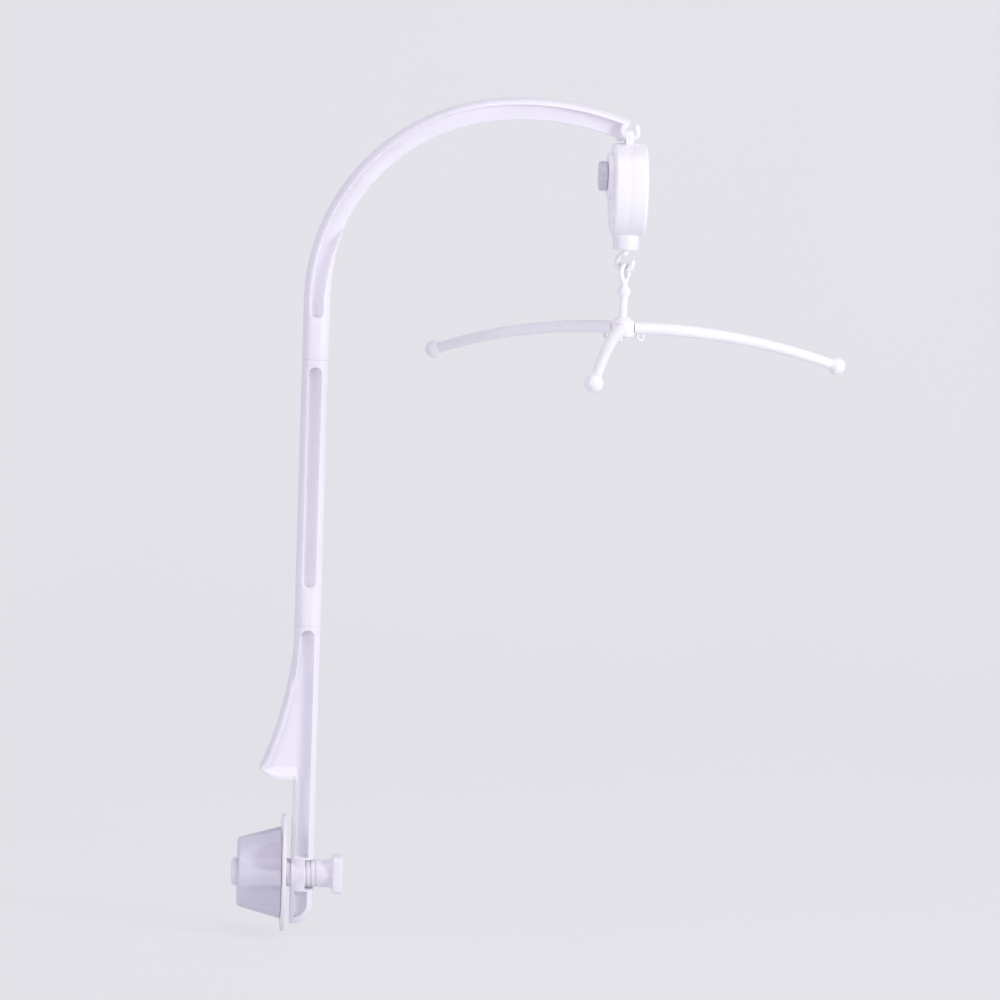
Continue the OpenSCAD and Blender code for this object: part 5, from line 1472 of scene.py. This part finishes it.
class MOBILE_OT_stage(bpy.types.Operator):
    """Pale seamless floor and backdrop, soft lights and the camera"""

    bl_idname = "mobile.stage"
    bl_label = "Stage"

    def execute(self, context):
        s = settings("studio_settings")
        self.sweep(s)
        self.lights()
        self.world()
        self.camera(context, s)
        context.scene.view_settings.view_transform = "Standard"
        return {"FINISHED"}

    def sweep(self, s):
        """Floor that curves up into a backdrop: a quarter circle joins the two."""
        floor_z = CAD_BOX[0].z - 0.004
        back, r, tall, side = 1.4, 0.7, 4.0, 6.0
        line = np.vstack([[[-5.0, floor_z]], arc(back, floor_z + r, r, -90, 0, 24), [[back + r, tall]]])
        n = len(line)
        verts = np.concatenate([np.column_stack([np.full(n, x), line]) for x in (-side, side)])
        mesh = bpy.data.meshes.new("backdrop")
        mesh.from_pydata(verts.tolist(), [], [(i, i + 1, n + i + 1, n + i) for i in range(n - 1)])
        mesh.shade_smooth()
        mesh.materials.append(self.paper(s))
        linked("backdrop", mesh)

    def paper(self, s):
        """Backdrop paper, which glows evenly where the camera, a reflection or glass sees it.

        Other rays see plain matt paper, so the glow doesn't light the object.
        """
        material, tree, shader, place = node_tree("backdrop_paper")
        colour = tinted(tree, noise(tree, place, 3, 2), s.backdrop, 0.995, 1)
        give(tree, shader, Base_Color=colour, Roughness=0.95)
        matt = shader.outputs["BSDF"]
        glow = add(tree, "Emission", Strength=1.0, Color=colour).outputs["Emission"]
        rays = add(tree, "LightPath").outputs
        seen = rays["Is Camera Ray"]
        for kind in ("Is Glossy Ray", "Is Transmission Ray"):
            either = add(tree, "Math")
            either.operation = "MAXIMUM"
            tree.links.new(seen, either.inputs[0])
            tree.links.new(rays[kind], either.inputs[1])
            seen = either.outputs["Value"]
        out = next(node for node in tree.nodes if node.type == "OUTPUT_MATERIAL")
        give(tree, out, Surface=self.mixed(tree, seen, matt, self.mixed(tree, 0.8, matt, glow)))
        return material

    def mixed(self, tree, share, first, second):
        """Two shaders mixed, by the share of the second."""
        node = add(tree, "MixShader", Fac=share)
        tree.links.new(first, node.inputs[1])
        tree.links.new(second, node.inputs[2])
        return node.outputs["Shader"]

    def lights(self):
        """Large soft lamps: key from the right and front, a weak one from above, fill from the left."""
        aim = Vector((0.16, 0, 0.22))
        for name, place, size, watts, colour in (
                ("key", (2.6, -1.7, 0.95), 1.2, 44, (1.0, 0.995, 0.985)),
                ("top", (0.3, -0.8, 2.4), 1.8, 12, (0.99, 0.99, 1.0)),
                ("fill", (-1.9, -2.0, 0.45), 1.8, 21, (0.96, 0.93, 1.0)),
        ):
            lamp = bpy.data.lights.new(name, "AREA")
            lamp.shape = "DISK"
            lamp.size = size
            lamp.energy = watts
            lamp.color = colour
            obj = linked(name, lamp)
            obj.location = place
            obj.rotation_euler = (aim - Vector(place)).to_track_quat("-Z", "Y").to_euler()

    def world(self):
        """Even cool light all round."""
        world = bpy.context.scene.world or bpy.data.worlds.new("studio")
        bpy.context.scene.world = world
        world.use_nodes = True
        tree = world.node_tree
        tree.nodes.clear()
        sky = add(tree, "Background", Color=(0.83, 0.77, 0.95, 1), Strength=0.46)
        add(tree, "OutputWorld", Surface=sky.outputs["Background"])

    def camera(self, context, s):
        """Camera on a sphere about the aim point; its lens gives the stated width there."""
        az, el = math.radians(s.azimuth), math.radians(s.elevation)
        ahead = Vector((-math.sin(az) * math.cos(el), math.cos(az) * math.cos(el), -math.sin(el)))
        right = Vector((math.cos(az), math.sin(az), 0))
        up = right.cross(ahead)
        aim = Vector((s.aim_x, 0, s.aim_z))
        turn = Matrix((right, up, -ahead)).transposed() @ Matrix.Rotation(math.radians(s.roll), 3, "Z")
        lens = bpy.data.cameras.new("camera")
        lens.sensor_width = 36
        lens.lens = 36 * s.distance / s.view_width
        lens.clip_start = 0.05
        lens.clip_end = 30
        lens.dof.use_dof = False
        obj = linked("camera", lens)
        obj.matrix_world = Matrix.Translation(aim - ahead * s.distance) @ turn.to_4x4()
        context.scene.camera = obj


OPERATORS = (
    MOBILE_OT_lower_arm,
    MOBILE_OT_middle_arm,
    MOBILE_OT_top_arm,
    MOBILE_OT_clamp_bolt,
    MOBILE_OT_pressure_plate,
    MOBILE_OT_clamp_knob,
    MOBILE_OT_bail,
    MOBILE_OT_case_shells,
    MOBILE_OT_winding_key,
    MOBILE_OT_output_hook,
    MOBILE_OT_hanger_link,
    MOBILE_OT_spreader_hub,
    MOBILE_OT_spreader_arms,
    MOBILE_OT_movement_finishes,
    MOBILE_OT_stage,
)


class MOBILE_PT_panel(bpy.types.Panel):
    """Crib mobile tools in the 3D view's sidebar"""

    bl_idname = "MOBILE_PT_panel"
    bl_label = "Crib Mobile"
    bl_space_type = "VIEW_3D"
    bl_region_type = "UI"
    bl_category = "Crib Mobile"

    def draw(self, context):
        for group in GROUPS:
            values = getattr(context.scene, group)
            column = self.layout.column(heading=group.replace("_", " ").title())
            for name in values.bl_rna.properties.keys():
                if name not in {"rna_type", "name"}:
                    column.prop(values, name)
        for operator in OPERATORS:
            self.layout.operator(operator.bl_idname)


def register():
    """Registers the groups, the operators and the panel."""
    for name, group in GROUPS.items():
        bpy.utils.register_class(group)
        setattr(bpy.types.Scene, name, bpy.props.PointerProperty(type=group))
    for operator in OPERATORS:
        bpy.utils.register_class(operator)
    bpy.utils.register_class(MOBILE_PT_panel)


def unregister():
    """Takes back what register() added."""
    bpy.utils.unregister_class(MOBILE_PT_panel)
    for operator in reversed(OPERATORS):
        bpy.utils.unregister_class(operator)
    for name, group in reversed(GROUPS.items()):
        delattr(bpy.types.Scene, name)
        bpy.utils.unregister_class(group)


def main():
    """Builds every piece and the stage."""
    register()
    for operator in OPERATORS:
        area, name = operator.bl_idname.split(".")
        getattr(getattr(bpy.ops, area), name)()


if __name__ == "__main__":
    main()
